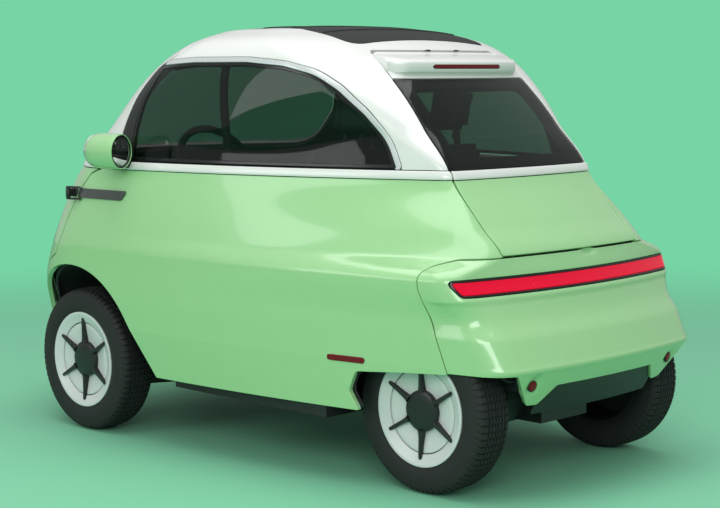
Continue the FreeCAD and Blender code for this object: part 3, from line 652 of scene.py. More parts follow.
hatch_light = region("rear", mirrored([(290, strip_top + 40), (278, window_top_z - 30)]), 30)
panel("rear_pane_border", [hatch, glass_band, outside(hatch_light)], border, nodes=["hatch_frame"],
      body="hatch", depth=20, out=-5.3)
panel("spoiler_skin", [hatch, over("z", window_top_z)], white, ["spoiler"], "hatch")
panel("sunroof_skin", [fixed, sunroof_zone], canvas, nodes=["sunroof"])


# ---------------------------------------------------------------- repeats about an axle
def copies_tree():
    """Geometry Nodes: copies of a mesh turned about the X axis through a centre, and welded."""
    tree = bpy.data.node_groups.new("copies_about_axle", "GeometryNodeTree")
    for label, kind in (("Mesh", "Geometry"), ("Count", "Int"), ("Centre", "Vector"), ("Weld", "Float"),
                        ("Finish", "Material")):
        tree.interface.new_socket(label, in_out="INPUT", socket_type="NodeSocket" + kind)
    tree.interface.new_socket("Mesh", in_out="OUTPUT", socket_type="NodeSocketGeometry")
    given = node(tree, "NodeGroupInput").outputs
    back = node(tree, "ShaderNodeVectorMath", {0: given["Centre"]}, {"operation": "SCALE"}, Scale=-1.0)
    centred = node(tree, "GeometryNodeTransform",
                   {"Geometry": given["Mesh"], "Translation": back.outputs["Vector"]})
    index = node(tree, "GeometryNodeInputIndex")
    share = node(tree, "ShaderNodeMath", {0: index.outputs["Index"], 1: given["Count"]},
                 {"operation": "DIVIDE"})
    turn = node(tree, "ShaderNodeMath", {0: share.outputs["Value"]}, {"operation": "MULTIPLY"})
    turn.inputs[1].default_value = 2 * math.pi
    angle = node(tree, "ShaderNodeCombineXYZ", {"X": turn.outputs["Value"]})
    points = node(tree, "GeometryNodePoints", {"Count": given["Count"], "Position": given["Centre"]})
    placed = node(tree, "GeometryNodeInstanceOnPoints",
                  {"Points": points.outputs[0], "Instance": centred.outputs["Geometry"],
                   "Rotation": angle.outputs["Vector"]})
    real = node(tree, "GeometryNodeRealizeInstances", {"Geometry": placed.outputs["Instances"]})
    welded = node(tree, "GeometryNodeMergeByDistance",
                  {"Geometry": real.outputs["Geometry"], "Distance": given["Weld"]})
    finished = node(tree, "GeometryNodeSetMaterial",
                    {"Geometry": welded.outputs["Geometry"], "Material": given["Finish"]})
    out = node(tree, "NodeGroupOutput")
    tree.links.new(finished.outputs["Geometry"], out.inputs["Mesh"])
    return tree


copies = copies_tree()


def as_evaluated(holder):
    """The plain mesh that an object's modifiers give."""
    return bpy.data.meshes.new_from_object(holder.evaluated_get(bpy.context.evaluated_depsgraph_get()))


def face_outwards(mesh):
    """Faces of a closed mesh turned outwards."""
    work = bmesh.new()
    work.from_mesh(mesh)
    bmesh.ops.remove_doubles(work, verts=work.verts, dist=1e-6)
    bmesh.ops.recalc_face_normals(work, faces=work.faces)
    work.to_mesh(mesh)
    work.free()
    return mesh


def repeated(name, mesh, count, centre, weld, finish):
    """The mesh that Geometry Nodes makes of copies about the X line through centre, in mm."""
    holder = linked(name, mesh)
    modifier = holder.modifiers.new("nodes", "NODES")
    modifier.node_group = copies
    values = {"Count": count, "Centre": tuple(v / 1000 for v in centre), "Weld": weld, "Finish": finish}
    for item in copies.interface.items_tree:
        if item.in_out == "INPUT" and item.name in values:
            modifier[item.identifier] = values[item.name]
    bpy.context.view_layer.update()
    made = as_evaluated(holder)
    bpy.data.objects.remove(holder)
    return face_outwards(made)


def ring_faces(count, size, closed=False):
    """Quads between rings of points, which are numbered ring by ring."""
    faces = []
    for j in range(count if closed else count - 1):
        ahead = (j + 1) % count
        for i in range(size):
            k = (i + 1) % size
            faces.append((j * size + i, j * size + k, ahead * size + k, ahead * size + i))
    return faces


def ringed(name, rings, finish=None, closed=False):
    """Solid through rings of points: a closed loop of rings, or flat caps at its two ends."""
    count, size = len(rings), len(rings[0])
    faces = ring_faces(count, size, closed)
    if not closed:
        faces += [tuple(range(size)), tuple(range((count - 1) * size, count * size))]
    return face_outwards(plain_mesh(name, [p for ring in rings for p in ring], faces, finish))


def sector(name, profile, angles, centre, height=None):
    """Part of a turned ring about the axle line: profile of (x, radius), closed, at each angle.

    height gives how much a profile point stands out at an angle, as (dx, dr).
    """
    points = []
    for j, angle in enumerate(angles):
        for i, (x, r) in enumerate(profile):
            dx, dr = height(i, j) if height else (0, 0)
            points.append((centre[0] + x + dx, centre[1] + (r + dr) * math.sin(angle),
                           centre[2] + (r + dr) * math.cos(angle)))
    return plain_mesh(name, points, ring_faces(len(angles), len(profile)))


# Tyre rubber: carbon black, dull, with a fine moulded grain and a little road dust.
rubber = material("tyre_rubber", "#151516", (0.62, 0.78), 30, 0.15, 1.2, "#1e1f20")
# Wheel cover: pale grey lacquer over moulded plastic, soft gloss.
lacquer = material("cover_lacquer", "#cfd0d2", (0.24, 0.34), 50, 0.03, 2, "#d6d7d8", Coat_Weight=0.3)
# Spokes and cap: black moulded plastic, finer and a little glossier.
black_cap = material("cap_plastic", "#141516", (0.3, 0.42), 20, 0.05, 1.2, "#1b1c1e")
# Dark coated steel of the rim's inner side, arms and pan: e-coat, dull.
coated_steel = material("coated_steel", "#1f2123", (0.45, 0.6), 45, 0.1, 3, "#292b2d", Metallic=0.3)

pitches = 72                  # tread pitches round a tyre, 23 mm each
half_tyre = tyre_w / 2
# outer profile of the tyre: (x, radius, lateral slot depth, zigzag of a groove in mm)
tread_half = [(0, 0, 3, 0), (3.5, 0, 3, 2.5), (4.5, -6.5, 0, 2.5), (8.5, -6.5, 0, 2.5), (9.5, 0, 3, 2.5),
              (19, -0.3, 3, 2.5), (20, -6.8, 0, 2.5), (24, -6.8, 0, 2.5), (25, -0.4, 3, 2.5),
              (33, -0.8, 3, 0), (34.5, -8, 0, 0), (39, -8, 0, 0), (40.5, -1.2, 5, 0), (48, -2.2, 5, 0),
              (56, -4.8, 4.5, 0), (62, -9, 4, 0), (66, -15, 3.5, 0), (68, -20, 3, 0), (69, -26, 0, 0),
              (71, -40, 0, 0), (72.5, -54, 0, 0), (71.2, -68, 0, 0), (68, -80, 0, 0), (66.5, -83, 0, 0),
              (66.3, -86, 0, 0), (62, -90, 0, 0), (58, -99, 0, 0)]


def tyre_mesh(name, centre):
    """One pitch of the tread and sidewall, repeated round the axle."""
    grow = half_tyre / 72.5
    right = [(px * grow, tyre_r + dr, depth, shift) for px, dr, depth, shift in tread_half]
    left = [(-px, r, depth, shift) for px, r, depth, shift in right[:0:-1]]
    bead_x, bead_r = right[-1][:2]
    whole = left + right + [(bead_x - 6, bead_r + 16, 0, 0), (6 - bead_x, bead_r + 16, 0, 0)]
    # lines across a pitch: their share of it, whether they lie in the slot, and the zigzag there
    shares = [0.0, 0.36, 0.41, 0.57, 0.62, 1.0]
    in_slot = [0, 0, 1, 1, 0, 0]
    sway = [0, 0.72, 0.82, 0.86, 0.76, 0]

    def height(i, j):
        depth, shift = whole[i][2:]
        return shift * 1.6 * (sway[j] - 0.4), -depth * in_slot[j]

    part = sector(name, [p[:2] for p in whole], [2 * math.pi / pitches * t for t in shares], centre, height)
    return repeated(name, part, pitches, centre, 2e-5, rubber)


rim_lip = half_tyre - 5.5


def from_lip(profile):
    """A profile whose places along the axle are measured from the rim's lip, outwards."""
    return [(rim_lip + x, r) for x, r in profile]


# cover from the bead inwards: rolled flange, outer ring, groove, field, seat of the cap
cover_profile = from_lip([(-4, 178.5), (1.5, 178), (2.5, 174), (1, 168), (-3, 160), (-7, 150), (-10, 141),
                          (-11.5, 138.6), (-19, 138), (-19, 135.2), (-14, 134.6), (-13.2, 132), (-15, 120),
                          (-18, 104), (-21, 88), (-23, 76), (-24, 60), (-24, 8), (-30, 8), (-30, 130),
                          (-24, 150), (-12, 170)])


def turned_mesh(name, profile, centre, finish):
    """A turned piece: a sixth of its ring repeated about the axle line."""
    angles = [math.pi / 3 * k / 16 for k in range(17)]
    return repeated(name, sector(name, profile, angles, centre), 6, centre, 1e-5, finish)


def spoke_mesh(name, centre):
    """Six raised bars from the cap to the outer ring: rounded outer end, flared foot."""
    base, top = rim_lip - 26, rim_lip - 1.5
    half = [(62, 11), (66, 8.6), (74, 7), (90, 6), (150, 6)]
    half += [(150 + 6 * math.sin(a), 6 * math.cos(a)) for a in (0.5, 0.95, 1.3)] + [(156, 0)]
    plan = half + [(r, -w) for r, w in reversed(half[:-1])]
    rings = []
    for level, shrink in ((base, 0), (top - 2.2, 0), (top - 0.6, 0.8), (top, 2.6)):
        ring = []
        for r, w in plan:
            sag = 0.0007 * max(150 - r, 0) ** 1.6 if level > base else 0
            narrow = math.copysign(max(abs(w) - shrink, 0), w)
            ring.append((centre[0] + level - sag, centre[1] + narrow,
                         centre[2] + r - (shrink if r > 154 else 0)))
        rings.append(ring)
    return repeated(name, ringed("spoke", rings), 6, centre, 1e-6, black_cap)


def flip(mesh):
    """The mesh mirrored to the car's right, its faces turned back outwards."""
    mesh = mesh.copy()
    mesh.transform(Matrix.Scale(-1, 4, (1, 0, 0)))
    mesh.flip_normals()
    return mesh


cap_profile = from_lip([(-26, 66), (-12, 66), (-9, 65), (-7, 61.5), (-5.2, 50), (-3.6, 36), (-2.6, 18),
                        (-2.4, 1), (-26, 1)])
# painted shade: a black ring at the bottom of the cover's groove, dark where the narrow groove lies in shadow
groove_shade_profile = from_lip([(-20, 139.5), (-18, 139.5), (-18, 134), (-20, 134)])
# inner side of the rim: barrel, well and disc
barrel_profile = [(-rim_lip, 178), (4 - rim_lip, 168), (18 - rim_lip, 160), (0, 146),
                  *from_lip([(-34, 148), (-32, 120), (-46, 76), (-46, 52), (-38, 52), (-38, 72), (-27, 118),
                             (-27, 156), (-10, 164.4), (-5, 177), (-8, 177)]),
                  (20, 157), (-20, 157), (14 - rim_lip, 164.4), (3 - rim_lip, 180)]
hub_r = 62.0


def wheels(place, x, y, hub_in):
    """Both wheels of an axle: made on the left and mirrored."""
    centre = (x, y, axle_z)
    hub_profile = [(hub_in - x, hub_r), (rim_lip - 45, hub_r), (rim_lip - 45, 20), (hub_in - x, 20)]
    made = [("tyre", tyre_mesh(place + "_tyre_tread", centre), "tyre_rubber", "tyre", 40)]
    for part, profile, finish, slot, node_part, sharp in (
            ("cover", cover_profile, lacquer, "wheel_cover", "rim", 38),
            ("cap", cap_profile, black_cap, "dark_plastic", None, 32),
            ("groove_shade", groove_shade_profile, black_cap, "dark_plastic", None, 32),
            ("barrel", barrel_profile, coated_steel, "steel", None, 32),
            ("hub", hub_profile, coated_steel, "steel", None, 32)):
        made.append((part, turned_mesh(part, profile, centre, finish), slot, node_part, sharp))
    made.append(("spokes", spoke_mesh("spokes", centre), "dark_plastic", None, 35))
    for part, mesh, slot, node_part, sharp in made:
        for side in ("left", "right"):
            nodes = ["%s_%s_%s" % (place, node_part, side)] if node_part else ()
            add_piece("%s_%s_%s" % (place, part, side), mesh if side == "left" else flip(mesh), nodes,
                      "%s_wheel_%s" % (place, side), sharp)


hub_gap = 0.4                 # between a hub and what carries it
front_carrier = 95.0          # knuckle's outer face, in from the wheel's middle
wheels("front", front_x, front_y, front_x - front_carrier + hub_gap)
wheels("rear", rear_x, rear_y, ends("rear_arms", "x")[1] + hub_gap)


# ---------------------------------------------------------------- turned, swept and bevelled pieces
def cross_ways(way, guide):
    """Two unit directions square to way."""
    side = np.cross(way, guide)
    side /= np.linalg.norm(side)
    return side, np.cross(way, side)


def lathe(name, profile, origin, way, finish, steps=56):
    """Closed profile of (along, radius) points turned about the line from origin along way."""
    way = np.array(way, float) / np.linalg.norm(way)
    side, other = cross_ways(way, [0, 0, 1.0] if abs(way[2]) < 0.9 else [1.0, 0, 0])
    rings = []
    for a in np.arange(steps) * 2 * math.pi / steps:
        spread = side * math.cos(a) + other * math.sin(a)
        rings.append([np.array(origin) + way * t + spread * r for t, r in profile])
    return ringed(name, rings, finish, closed=True)


def disc(depth, radius, lip=1.0):
    """Profile of a disc with rounded rims, its back at 0."""
    return [(0, 0), (0, radius - lip), (0.3 * lip, radius - 0.3 * lip), (lip, radius),
            (depth - lip, radius), (depth - 0.3 * lip, radius - 0.3 * lip), (depth, radius - lip), (depth, 0)]


def ring_profile(start, end, inner, outer, lip=1.0):
    """Profile of a ring with rounded rims."""
    return [(start, inner + lip), (start, outer - lip), (start + 0.3 * lip, outer - 0.3 * lip),
            (start + lip, outer), (end - lip, outer), (end - 0.3 * lip, outer - 0.3 * lip),
            (end, outer - lip), (end, inner + lip), (end - 0.3 * lip, inner + 0.3 * lip), (end - lip, inner),
            (start + lip, inner), (start + 0.3 * lip, inner + 0.3 * lip)]


def swept(name, path, radius, finish, closed=False, sides=14):
    """Round bar along a path of points."""
    path = np.array(path, float)
    last = len(path) - 1
    rings = []
    for i, place in enumerate(path):
        ahead = path[(i + 1) % len(path)] if closed or i < last else place * 2 - path[i - 1]
        back = path[i - 1] if closed or i > 0 else place * 2 - path[i + 1]
        side, other = cross_ways((ahead - back) / np.linalg.norm(ahead - back), [0.13, 0.29, 0.95])
        turns = [2 * math.pi * k / sides for k in range(sides)]
        rings.append([place + (side * math.cos(a) + other * math.sin(a)) * radius for a in turns])
    return ringed(name, rings, finish, closed)


def extruded(name, outline, axis, low, high, finish, radius=3.0, segments=3):
    """Closed outline drawn across an axis, given a depth and rounded edges."""
    at = "xyz".index(axis)
    mesh = ringed(name, [[(*p[:at], t, *p[at:]) for p in outline] for t in (low, high)], finish)
    work = bmesh.new()
    work.from_mesh(mesh)
    sharp = [e for e in work.edges if len(e.link_faces) == 2 and e.calc_face_angle() > math.radians(25)]
    bmesh.ops.bevel(work, geom=sharp, offset=radius / 1000, segments=segments, affect="EDGES",
                    clamp_overlap=True)
    work.to_mesh(mesh)
    work.free()
    return mesh


def tail_y(z, x):
    """How far back the plain skin reaches at a height, at the place x."""
    rows, place = section_rows()
    steps = np.arange(0, place[-1], 2.0)
    at = np.interp([z], smooth(place, rows[:, :1], steps)[:, 0], steps)
    line = outlines(smooth(place, rows, at), fine_counts)[0]
    line = line[line[:, 1] > 200]
    line = line[np.argsort(line[:, 0])]
    return np.interp(x, line[:, 0], line[:, 1])


# ---------------------------------------------------------------- lamp pods with mirrors
# Silvered mirror glass: bright, nearly smooth.
mirror_silver = material("mirror_silver", "#c4cbc8", (0.03, 0.05), 90, Metallic=1.0)
# Bezel ring: bright satin metal film over plastic.
satin_ring = material("satin_bezel", "#d4d7d8", (0.18, 0.26), 30, 0.02, 1.5, Metallic=0.7)
# Headlamp reflector: vacuum metallised bowl.
reflector_silver = material("lamp_bowl", "#d9dde0", (0.08, 0.12), 60, Metallic=1.0)
# Headlamp cover: clear polycarbonate with a hard coat.
clear_cover = glass_material("clear_cover", "#f2f6f8", 0.18, 0.03)

pod_y0, pod_y1 = ends("lamp_pod_left", "y")[0], ends("mirror_glasses", "y")[1] + 18
pod_length = pod_y1 - pod_y0
pod_r = 64.0
pod_x = ends("lamp_pod_left", "x")[1] - pod_r
pod_z = ends("lamp_pod_left", "z")[1] - pod_r


def slanted(mesh, way):
    """The pod's rear end cut slantwise, so that its mirror faces the driver."""
    for v in mesh.vertices:
        x, y = v.co.x * 1000, v.co.y * 1000
        v.co.y -= rise(y - pod_y0, 40, pod_length - 14) * 0.34 * (pod_r - way * x + pod_x) / 1000
    return mesh


pod_shell = [(17, 50), (17, 60.5), (17.8, 61.8), (19, 62.4), (50, 63.6), (85, 64), (120, 63.6),
             (pod_length - 4, 62.6), (pod_length - 1.2, 61.8), (pod_length, 60.4),
             (pod_length, 59.4), (pod_length - 0.8, 58.6), (pod_length - 9, 58.2),
             (pod_length - 9, 40), (30, 40)]
bezel = [(0.8, 52), (0.8, 55), (3, 57.8), (8, 60), (14, 61.2), (15, 60.6), (15, 52)]
dark_ring = [(15, 50), (15, 59.6), (17, 59.6), (17, 50)]
bowl = [(10, 51.5), (10, 50), (26, 34), (34, 14), (34, 0), (40, 0), (40, 51.5)]
dome = [(0.2, 0), (0.6, 20), (1.8, 38), (4.2, 51.8), (6.2, 51.8), (3.8, 38), (2.6, 20), (2.2, 0)]
optic = [(20, 0), (20.6, 8), (23, 14), (27, 17), (34, 17), (34, 0)]
pod_parts = (("pod_shell", pod_shell, green, "green_paint", "lamp_pod_{}"),
             ("pod_bezel", bezel, satin_ring, "clear_lens", None),
             ("pod_gap_ring", dark_ring, plastic, "dark_plastic", None),
             ("pod_bowl", bowl, reflector_silver, "clear_lens", None),
             ("pod_optic", optic, clear_cover, "clear_lens", None),
             ("pod_cover", dome, clear_cover, "clear_lens", "pod_lenses"),
             ("mirror_frame", ring_profile(pod_length - 9, pod_length - 3.5, 50, 58), plastic,
              "dark_plastic", None),
             ("mirror_disc", [(t + pod_length - 8.5, r) for t, r in disc(4, 55)], mirror_silver,
              "mirror_glass", "mirror_glasses"))
for side, way in both_sides:
    origin = (way * pod_x, pod_y0, pod_z)
    for name, profile, finish, slot, cad in pod_parts:
        nodes = [cad.format(side)] if cad else ()
        add_piece("%s_%s" % (name, side), slanted(lathe(name, profile, origin, (0, 1, 0), finish, 72), way),
                  nodes, sharp=30)
    foot = [(way * x, z) for x, z in ((655, 997), (690, 994), (732, 1001), (760, 1010), (760, 1040),
                                      (700, 1034), (650, 1022))]
    add_piece("pod_foot_" + side, extruded("pod_foot", foot, "y", pod_y0 + 40, pod_y0 + 108, plastic, 5))


# ---------------------------------------------------------------- lamps in the tail
def lamp_material(name, base, glow, strength):
    """Lit lens: a moulded colour with an even glow behind it."""
    made = material(name, base, (0.1, 0.16), 30, 0, 1, Specular_IOR_Level=0.25)
    shader = made.node_tree.nodes["Principled BSDF"]
    shader.inputs["Emission Color"].default_value = colour(glow)
    shader.inputs["Emission Strength"].default_value = strength
    return made


# Tail lamp: bright crimson acrylic, lit evenly behind the lens.
red_lens = lamp_material("tail_lens", "#b00024", "#ff0038", 0.4)
# Daytime strip across the front door: clear cover over a white light guide.
front_lens = lamp_material("front_light_guide", "#f4f6f6", "#ffffff", 0.25)
# Reflectors and the high lamp: deep red acrylic with a faint glow, which is lamp light in the high lamp and
# painted light on the reflectors, which hold no lamp.
dark_red = lamp_material("reflector_red", "#6a1018", "#801018", 0.03)
seam_x = 250.0
for name, span in (("left", over("x", seam_x + 1.0)),
                   ("middle", both(under("x", seam_x - 1.0), over("x", 1.0 - seam_x))),
                   ("right", under("x", -seam_x - 1.0))):
    panel("light_bar_" + name, [lamp_seen, behind, span], red_lens, ["light_bar"],
          depth=14, out=1.2)
panel("light_bar_bed", [grown(lamp_seen, 6), behind], border, depth=6, out=-13)
panel("light_bar_surround", [both(grown(lamp_seen, 7.5), behind), outside(lamp_seen, 0.5)], border,
      nodes=["light_bar_frame"], depth=20, out=0.5)
# the reflectors take dark_red's faint glow: painted light, since a reflector holds no lamp
for side, way in both_sides:
    where = (way * reflector_x, tail_y(reflector_z, reflector_x) - 9.5, reflector_z)
    facing = (way * 0.13, 1, -0.18)
    add_piece("reflector_" + side, lathe("reflector", disc(9, 15.5, 1.5), where, facing, dark_red, 40),
              ["reflectors"])
    add_piece("reflector_ring_" + side,
              lathe("reflector_ring", ring_profile(0, 7, 15, 18.5), where, facing, plastic, 40))
marker = region("side", box_outline(rear_y - 299, rear_y - 153, 411, 431), 9)
for side, half in halves:
    panel("side_marker_" + side, [marker, half], dark_red, depth=8, out=3)
diffuser = region("rear", mirrored([(-305, 257), (-305.7, 296.6), (-250.2, 355.7)]), 12)
panel("diffuser_skin", [diffuser, behind], plastic, nodes=["diffuser"], depth=14, out=-9)

# ---------------------------------------------------------------- spoiler lip and high brake lamp
lip_z, lip_reach, lip_half = 1354.0, 56.0, 330


def lip_section(x):
    """Side view of the spoiler's lip at x: (how far back, height)."""
    foot = [(tail_y(z, x) - 3, z) for z in (1320, 1336, lip_z, 1372, 1392)]
    face = tail_y(lip_z, x)
    reach = lip_reach * (1 - 0.55 * rise(abs(x), 270, 331))
    top = tail_y(hatch_top_z - 22, x)
    return [foot[0], (face + reach * 0.78, 1326), (face + reach * 0.95, 1330), (face + reach, 1336),
            (face + reach, 1358), (face + reach * 0.985, 1363), (face + reach * 0.94, 1366.5),
            (face + reach * 0.75, 1371.5), ((face + reach * 0.75 + top) / 2, 1380), (top + 6, 1387.5),
            (top - 26, 1392.5), *foot[:0:-1][1:]]


stations = np.concatenate([np.linspace(-lip_half, -262, 12), np.linspace(-240, 240, 25),
                           np.linspace(262, lip_half, 12)])
lip_rings = [[(x, y, z) for y, z in lip_section(x)] for x in stations]
add_piece("spoiler_lip", ringed("spoiler_lip", lip_rings, white), ["spoiler"], "hatch", 34)


def on_lip(name, half, low, high, out, finish, nodes=()):
    """A rounded bar let into the rear face of the lip."""
    middle_z, tall = (low + high) / 2, (high - low) / 2
    rings = []
    for x in np.linspace(-half, half, 41):
        face = tail_y(lip_z, x) + lip_reach
        end = max(abs(x) - (half - tall), 0) / tall
        reach = tall * math.sqrt(max(1 - end * end, 0.002))
        upper_half = [(face - 6, reach), (face + out - 0.8, reach), (face + out, reach * 0.8)]
        lower_half = [(x, y, middle_z - r) for y, r in upper_half]
        rings.append(lower_half + [(x, y, middle_z + r) for y, r in reversed(upper_half)])
    add_piece(name, ringed(name, rings, finish), nodes, "hatch", 30)


on_lip("brake_lamp_bed", 174, 1340, 1356, 0.5, border)
on_lip("brake_lamp_lens", 170, 1342, 1354, 1.3, dark_red, ["brake_lamp"])

# ---------------------------------------------------------------- side bars and door hinge
# Smoked bar on the flank: dark grey acrylic, soft gloss.
smoked = material("smoked_acrylic", "#4b4e4c", (0.16, 0.24), 80, 0, 1, "#3a3c3b", Coat_Weight=0.3)
bar_z0, bar_z1 = 876.0, 911.0
bar_tall = bar_z1 - bar_z0
bar_y0, bar_y1 = front_y + 22, front_y + 306
bar = region("side", [(bar_y0, bar_z0), (bar_y1 - 26, bar_z0), (bar_y1, bar_z1), (bar_y0, bar_z1)],
             [4, 5, 5, 4])
for side, half in halves:
    panel("flank_bar_" + side, [bar, half], smoked, nodes=["side_bars"], depth=8, out=8)
hinge_x, hinge_y = 724.0, front_y - 14
add_piece("hinge_barrel", lathe("hinge_barrel", disc(bar_tall, 9, 2), (hinge_x, hinge_y, bar_z0), (0, 0, 1),
                                plastic, 40), nodes=["door_hinge"], body="front_door")
leaf = region("side", box_outline(hinge_y - 52, hinge_y + 16, bar_z0, bar_z1), 15)
panel("hinge_leaf", [leaf, door, over("x", 0)], plastic, body="front_door", depth=9, out=9)
arm = [(650, hinge_y - 12), (hinge_x + 2, hinge_y - 9), (hinge_x + 2, hinge_y + 2), (650, hinge_y + 6)]
add_piece("hinge_arm", extruded("hinge_arm", arm, "z", bar_z0 + 3, bar_z1 - 3, plastic, 3), body="front_door")
lug = [(hinge_x - 8, hinge_y), (hinge_x - 22, bar_y0 + 8), (hinge_x - 14, bar_y0 + 26),
       (hinge_x - 2, bar_y0 + 4), (hinge_x + 8.5, hinge_y), (hinge_x + 6, hinge_y - 6),
       (hinge_x, hinge_y - 9), (hinge_x - 6, hinge_y - 6)]
for low, high in ((bar_z0 - 7, bar_z0 - 0.5), (bar_z1 + 0.5, bar_z1 + 7)):
    add_piece("hinge_lug_%d" % low, extruded("hinge_lug", lug, "z", low, high, plastic, 1.2))
add_piece("hinge_pin", lathe("hinge_pin", disc(bar_tall + 12, 4.7), (hinge_x, hinge_y, bar_z0 - 6), (0, 0, 1),
                             coated_steel, 24))

# ---------------------------------------------------------------- linings, posts and hinges
# Woven headliner and door cards: mid-dark grey fibre, fully matt.
lining_felt = material("lining_felt", "#2c2e30", (0.85, 0.95), 12, 0.25, 1.4, "#35373a")
# Injection moulded cabin plastic: dark grey, dull.
cabin_plastic = material("cabin_plastic", "#1e2022", (0.5, 0.62), 30, 0.12, 1.8, "#26282a")
linings = [("side_lining_" + side, "chassis", lining_felt, -34,
            [fixed, lower, outside(nose_zone, 4), outside(tail_zone), arch_free, outside(rear_cut, 4), half])
           for side, half in halves]
linings += [("tail_lining", "chassis", cabin_plastic, -30,
             [fixed, lower, tail_zone, outside(both(tail_cut, behind), 6)]),
            ("nose_lining", "chassis", cabin_plastic, -30, [fixed, lower, nose_zone, arch_free]),
            ("door_lining", "front_door", lining_felt, -34, [door, lower]),
            ("door_top_lining", "front_door", lining_felt, -30,
             [door, over("z", belt_z), outside(screen, 4)]),
            ("hatch_lining", "hatch", lining_felt, -30, [hatch, under("z", strip_top)]),
            ("spoiler_lining", "hatch", lining_felt, -28, [hatch, over("z", window_top_z)]),
            ("waist_lining", "chassis", lining_felt, -32, [fixed, *waist]),
            ("roof_lining", "chassis", lining_felt, -32,
             [fixed, upper, outside(window, 4), outside(pillar_zone, 2), outside(sunroof_zone, 8)])]
for name, body, finish, out, tests in linings:
    panel(name, tests, finish, body=body, depth=8, out=out, source=coarse)
post = region("side", [(48, strip_top), (76, strip_top), (38, belt_z + 384), (10, belt_z + 384)], 4)
for side, half in halves:
    panel("window_post_" + side, [post, window, half], cabin_plastic, depth=14, out=-10)
for side, way in both_sides:
    where = (way * 62, tail_y(hatch_top_z, 0.0), hatch_top_z + 4)
    add_piece("hatch_pin_" + side,
              lathe("hatch_pin", disc(26, 1.6, 0.3), where, (way, 0, 0), coated_steel, 20))
    add_piece("hatch_eye_" + side,
              lathe("hatch_eye", ring_profile(0, 17, 1.9, 2.9, 0.3), where, (way, 0, 0), coated_steel, 24),
              body="hatch")

# ---------------------------------------------------------------- sunroof seams and front lamp
for k, seam_y in enumerate((-52, 104, 260)):
    panel("sunroof_rib_%d" % k, [sunroof_zone, under("y", seam_y + 5), over("y", seam_y - 5),
                                 outside(outside(sunroof_zone), 12)], canvas, depth=5, out=3.2)
front_band = region("rear", [(-470, 668), (470, 668), (492, 692), (-492, 692)], 8)
ahead = under("y", front_y - 200)
panel("front_lamp_bed", [front_band, ahead], border, body="front_door", depth=4, out=1.0)
panel("front_lamp_lens", [grown(front_band, -5), ahead], front_lens, body="front_door",
      depth=3, out=2.2)


# ---------------------------------------------------------------- seats
def woven(name, base, tint, pitch_mm):
    """Cloth with a plain weave of the given pitch."""
    made = material(name, base, (0.8, 0.92), 18, 0, 1, tint, Sheen_Weight=0.25, Sheen_Roughness=0.5)
    tree = made.node_tree
    place = node(tree, "ShaderNodeTexCoord").outputs["Object"]
    waves = []
    for direction in ("X", "Z"):
        waves.append(node(tree, "ShaderNodeTexWave", {"Vector": place}, {"bands_direction": direction},
                          Scale=1000 / pitch_mm / 2 / math.pi, Distortion=0.6, Detail=1.0))
    both_ways = node(tree, "ShaderNodeMath", {0: waves[0].outputs["Fac"], 1: waves[1].outputs["Fac"]},
                     {"operation": "MULTIPLY"})
    lumps = node(tree, "ShaderNodeBump", {"Height": both_ways.outputs["Value"]}, Distance=0.0004,
                 Strength=0.6)
    tree.links.new(lumps.outputs["Normal"], tree.nodes["Principled BSDF"].inputs["Normal"])
    return made


# Seat cover: woven charcoal polyester, matt.
seat_cloth = woven("seat_weave", "#34373a", "#3d4043", 1.6)


def rounded_block(name, corners, pull):
    """A box through eight corners, its edges rounded."""
    work = bmesh.new()
    verts = [work.verts.new(np.array(c) / 1000) for c in corners]
    for face in ((0, 1, 2, 3), (4, 5, 6, 7), (0, 1, 5, 4), (1, 2, 6, 5), (2, 3, 7, 6), (3, 0, 4, 7)):
        work.faces.new([verts[i] for i in face])
    bmesh.ops.recalc_face_normals(work, faces=work.faces)
    bmesh.ops.bevel(work, geom=list(work.edges), offset=pull / 1000, segments=4, affect="EDGES",
                    clamp_overlap=True)
    mesh = bpy.data.meshes.new(name)
    work.to_mesh(mesh)
    work.free()
    return mesh


def coordinates(mesh, kind):
    """Places or normals of a mesh's vertices, as rows."""
    flat = np.empty(len(mesh.vertices) * 3)
    mesh.vertices.foreach_get(kind, flat)
    return flat.reshape(-1, 3)


def stuffed(name, mesh, voxel, cap):
    """The shape remeshed and swollen as cloth over a filling, each point moved no more than cap."""
    holder = linked(name, mesh)
    scene = bpy.context.scene
    remesh = holder.modifiers.new("remesh", "REMESH")
    remesh.mode = "VOXEL"
    remesh.voxel_size = voxel / 1000
    bpy.context.view_layer.update()
    fine = as_evaluated(holder)
    holder.modifiers.remove(remesh)
    holder.data = fine
    rest = coordinates(fine, "co")
    cloth = holder.modifiers.new("swell", "CLOTH")
    cloth.settings.use_pressure = True
    cloth.settings.uniform_pressure_force = 4.0
    cloth.settings.effector_weights.gravity = 0
    cloth.settings.quality = 5
    cloth.point_cache.frame_start, cloth.point_cache.frame_end = 1, 20
    for frame_number in range(1, 21):
        scene.frame_set(frame_number)
    move = coordinates(as_evaluated(holder), "co") - rest
    size = np.linalg.norm(move, axis=1, keepdims=True)
    rest = rest + move * np.minimum(1, cap / 1000 / np.maximum(size, 1e-9))
    holder.modifiers.remove(cloth)
    scene.frame_set(1)
    fine.vertices.foreach_set("co", rest.reshape(-1))
    fine.update()
    bpy.data.objects.remove(holder)
    return fine


def channels(mesh, lines, depth, reach, way):
    """Sewn channels along the piece, pressed in at the places x; way is the face's outward side."""
    place, normal = coordinates(mesh, "co"), coordinates(mesh, "normal")
    facing = np.clip(normal @ np.array(way), 0, 1)
    press = np.max([bump(place[:, 0] * 1000, line, reach) for line in lines], axis=0)
    place = place - normal * (press * facing * depth / 1000)[:, None]
    mesh.vertices.foreach_set("co", place.reshape(-1))
    mesh.update()


def finish_pad(name, mesh, nodes):
    mesh.materials.clear()
    mesh.materials.append(seat_cloth)
    piece = add_piece(name, mesh, nodes, sharp=180)
    soft = piece.modifiers.new("smooth", "SUBSURF")
    soft.levels = soft.render_levels = 1


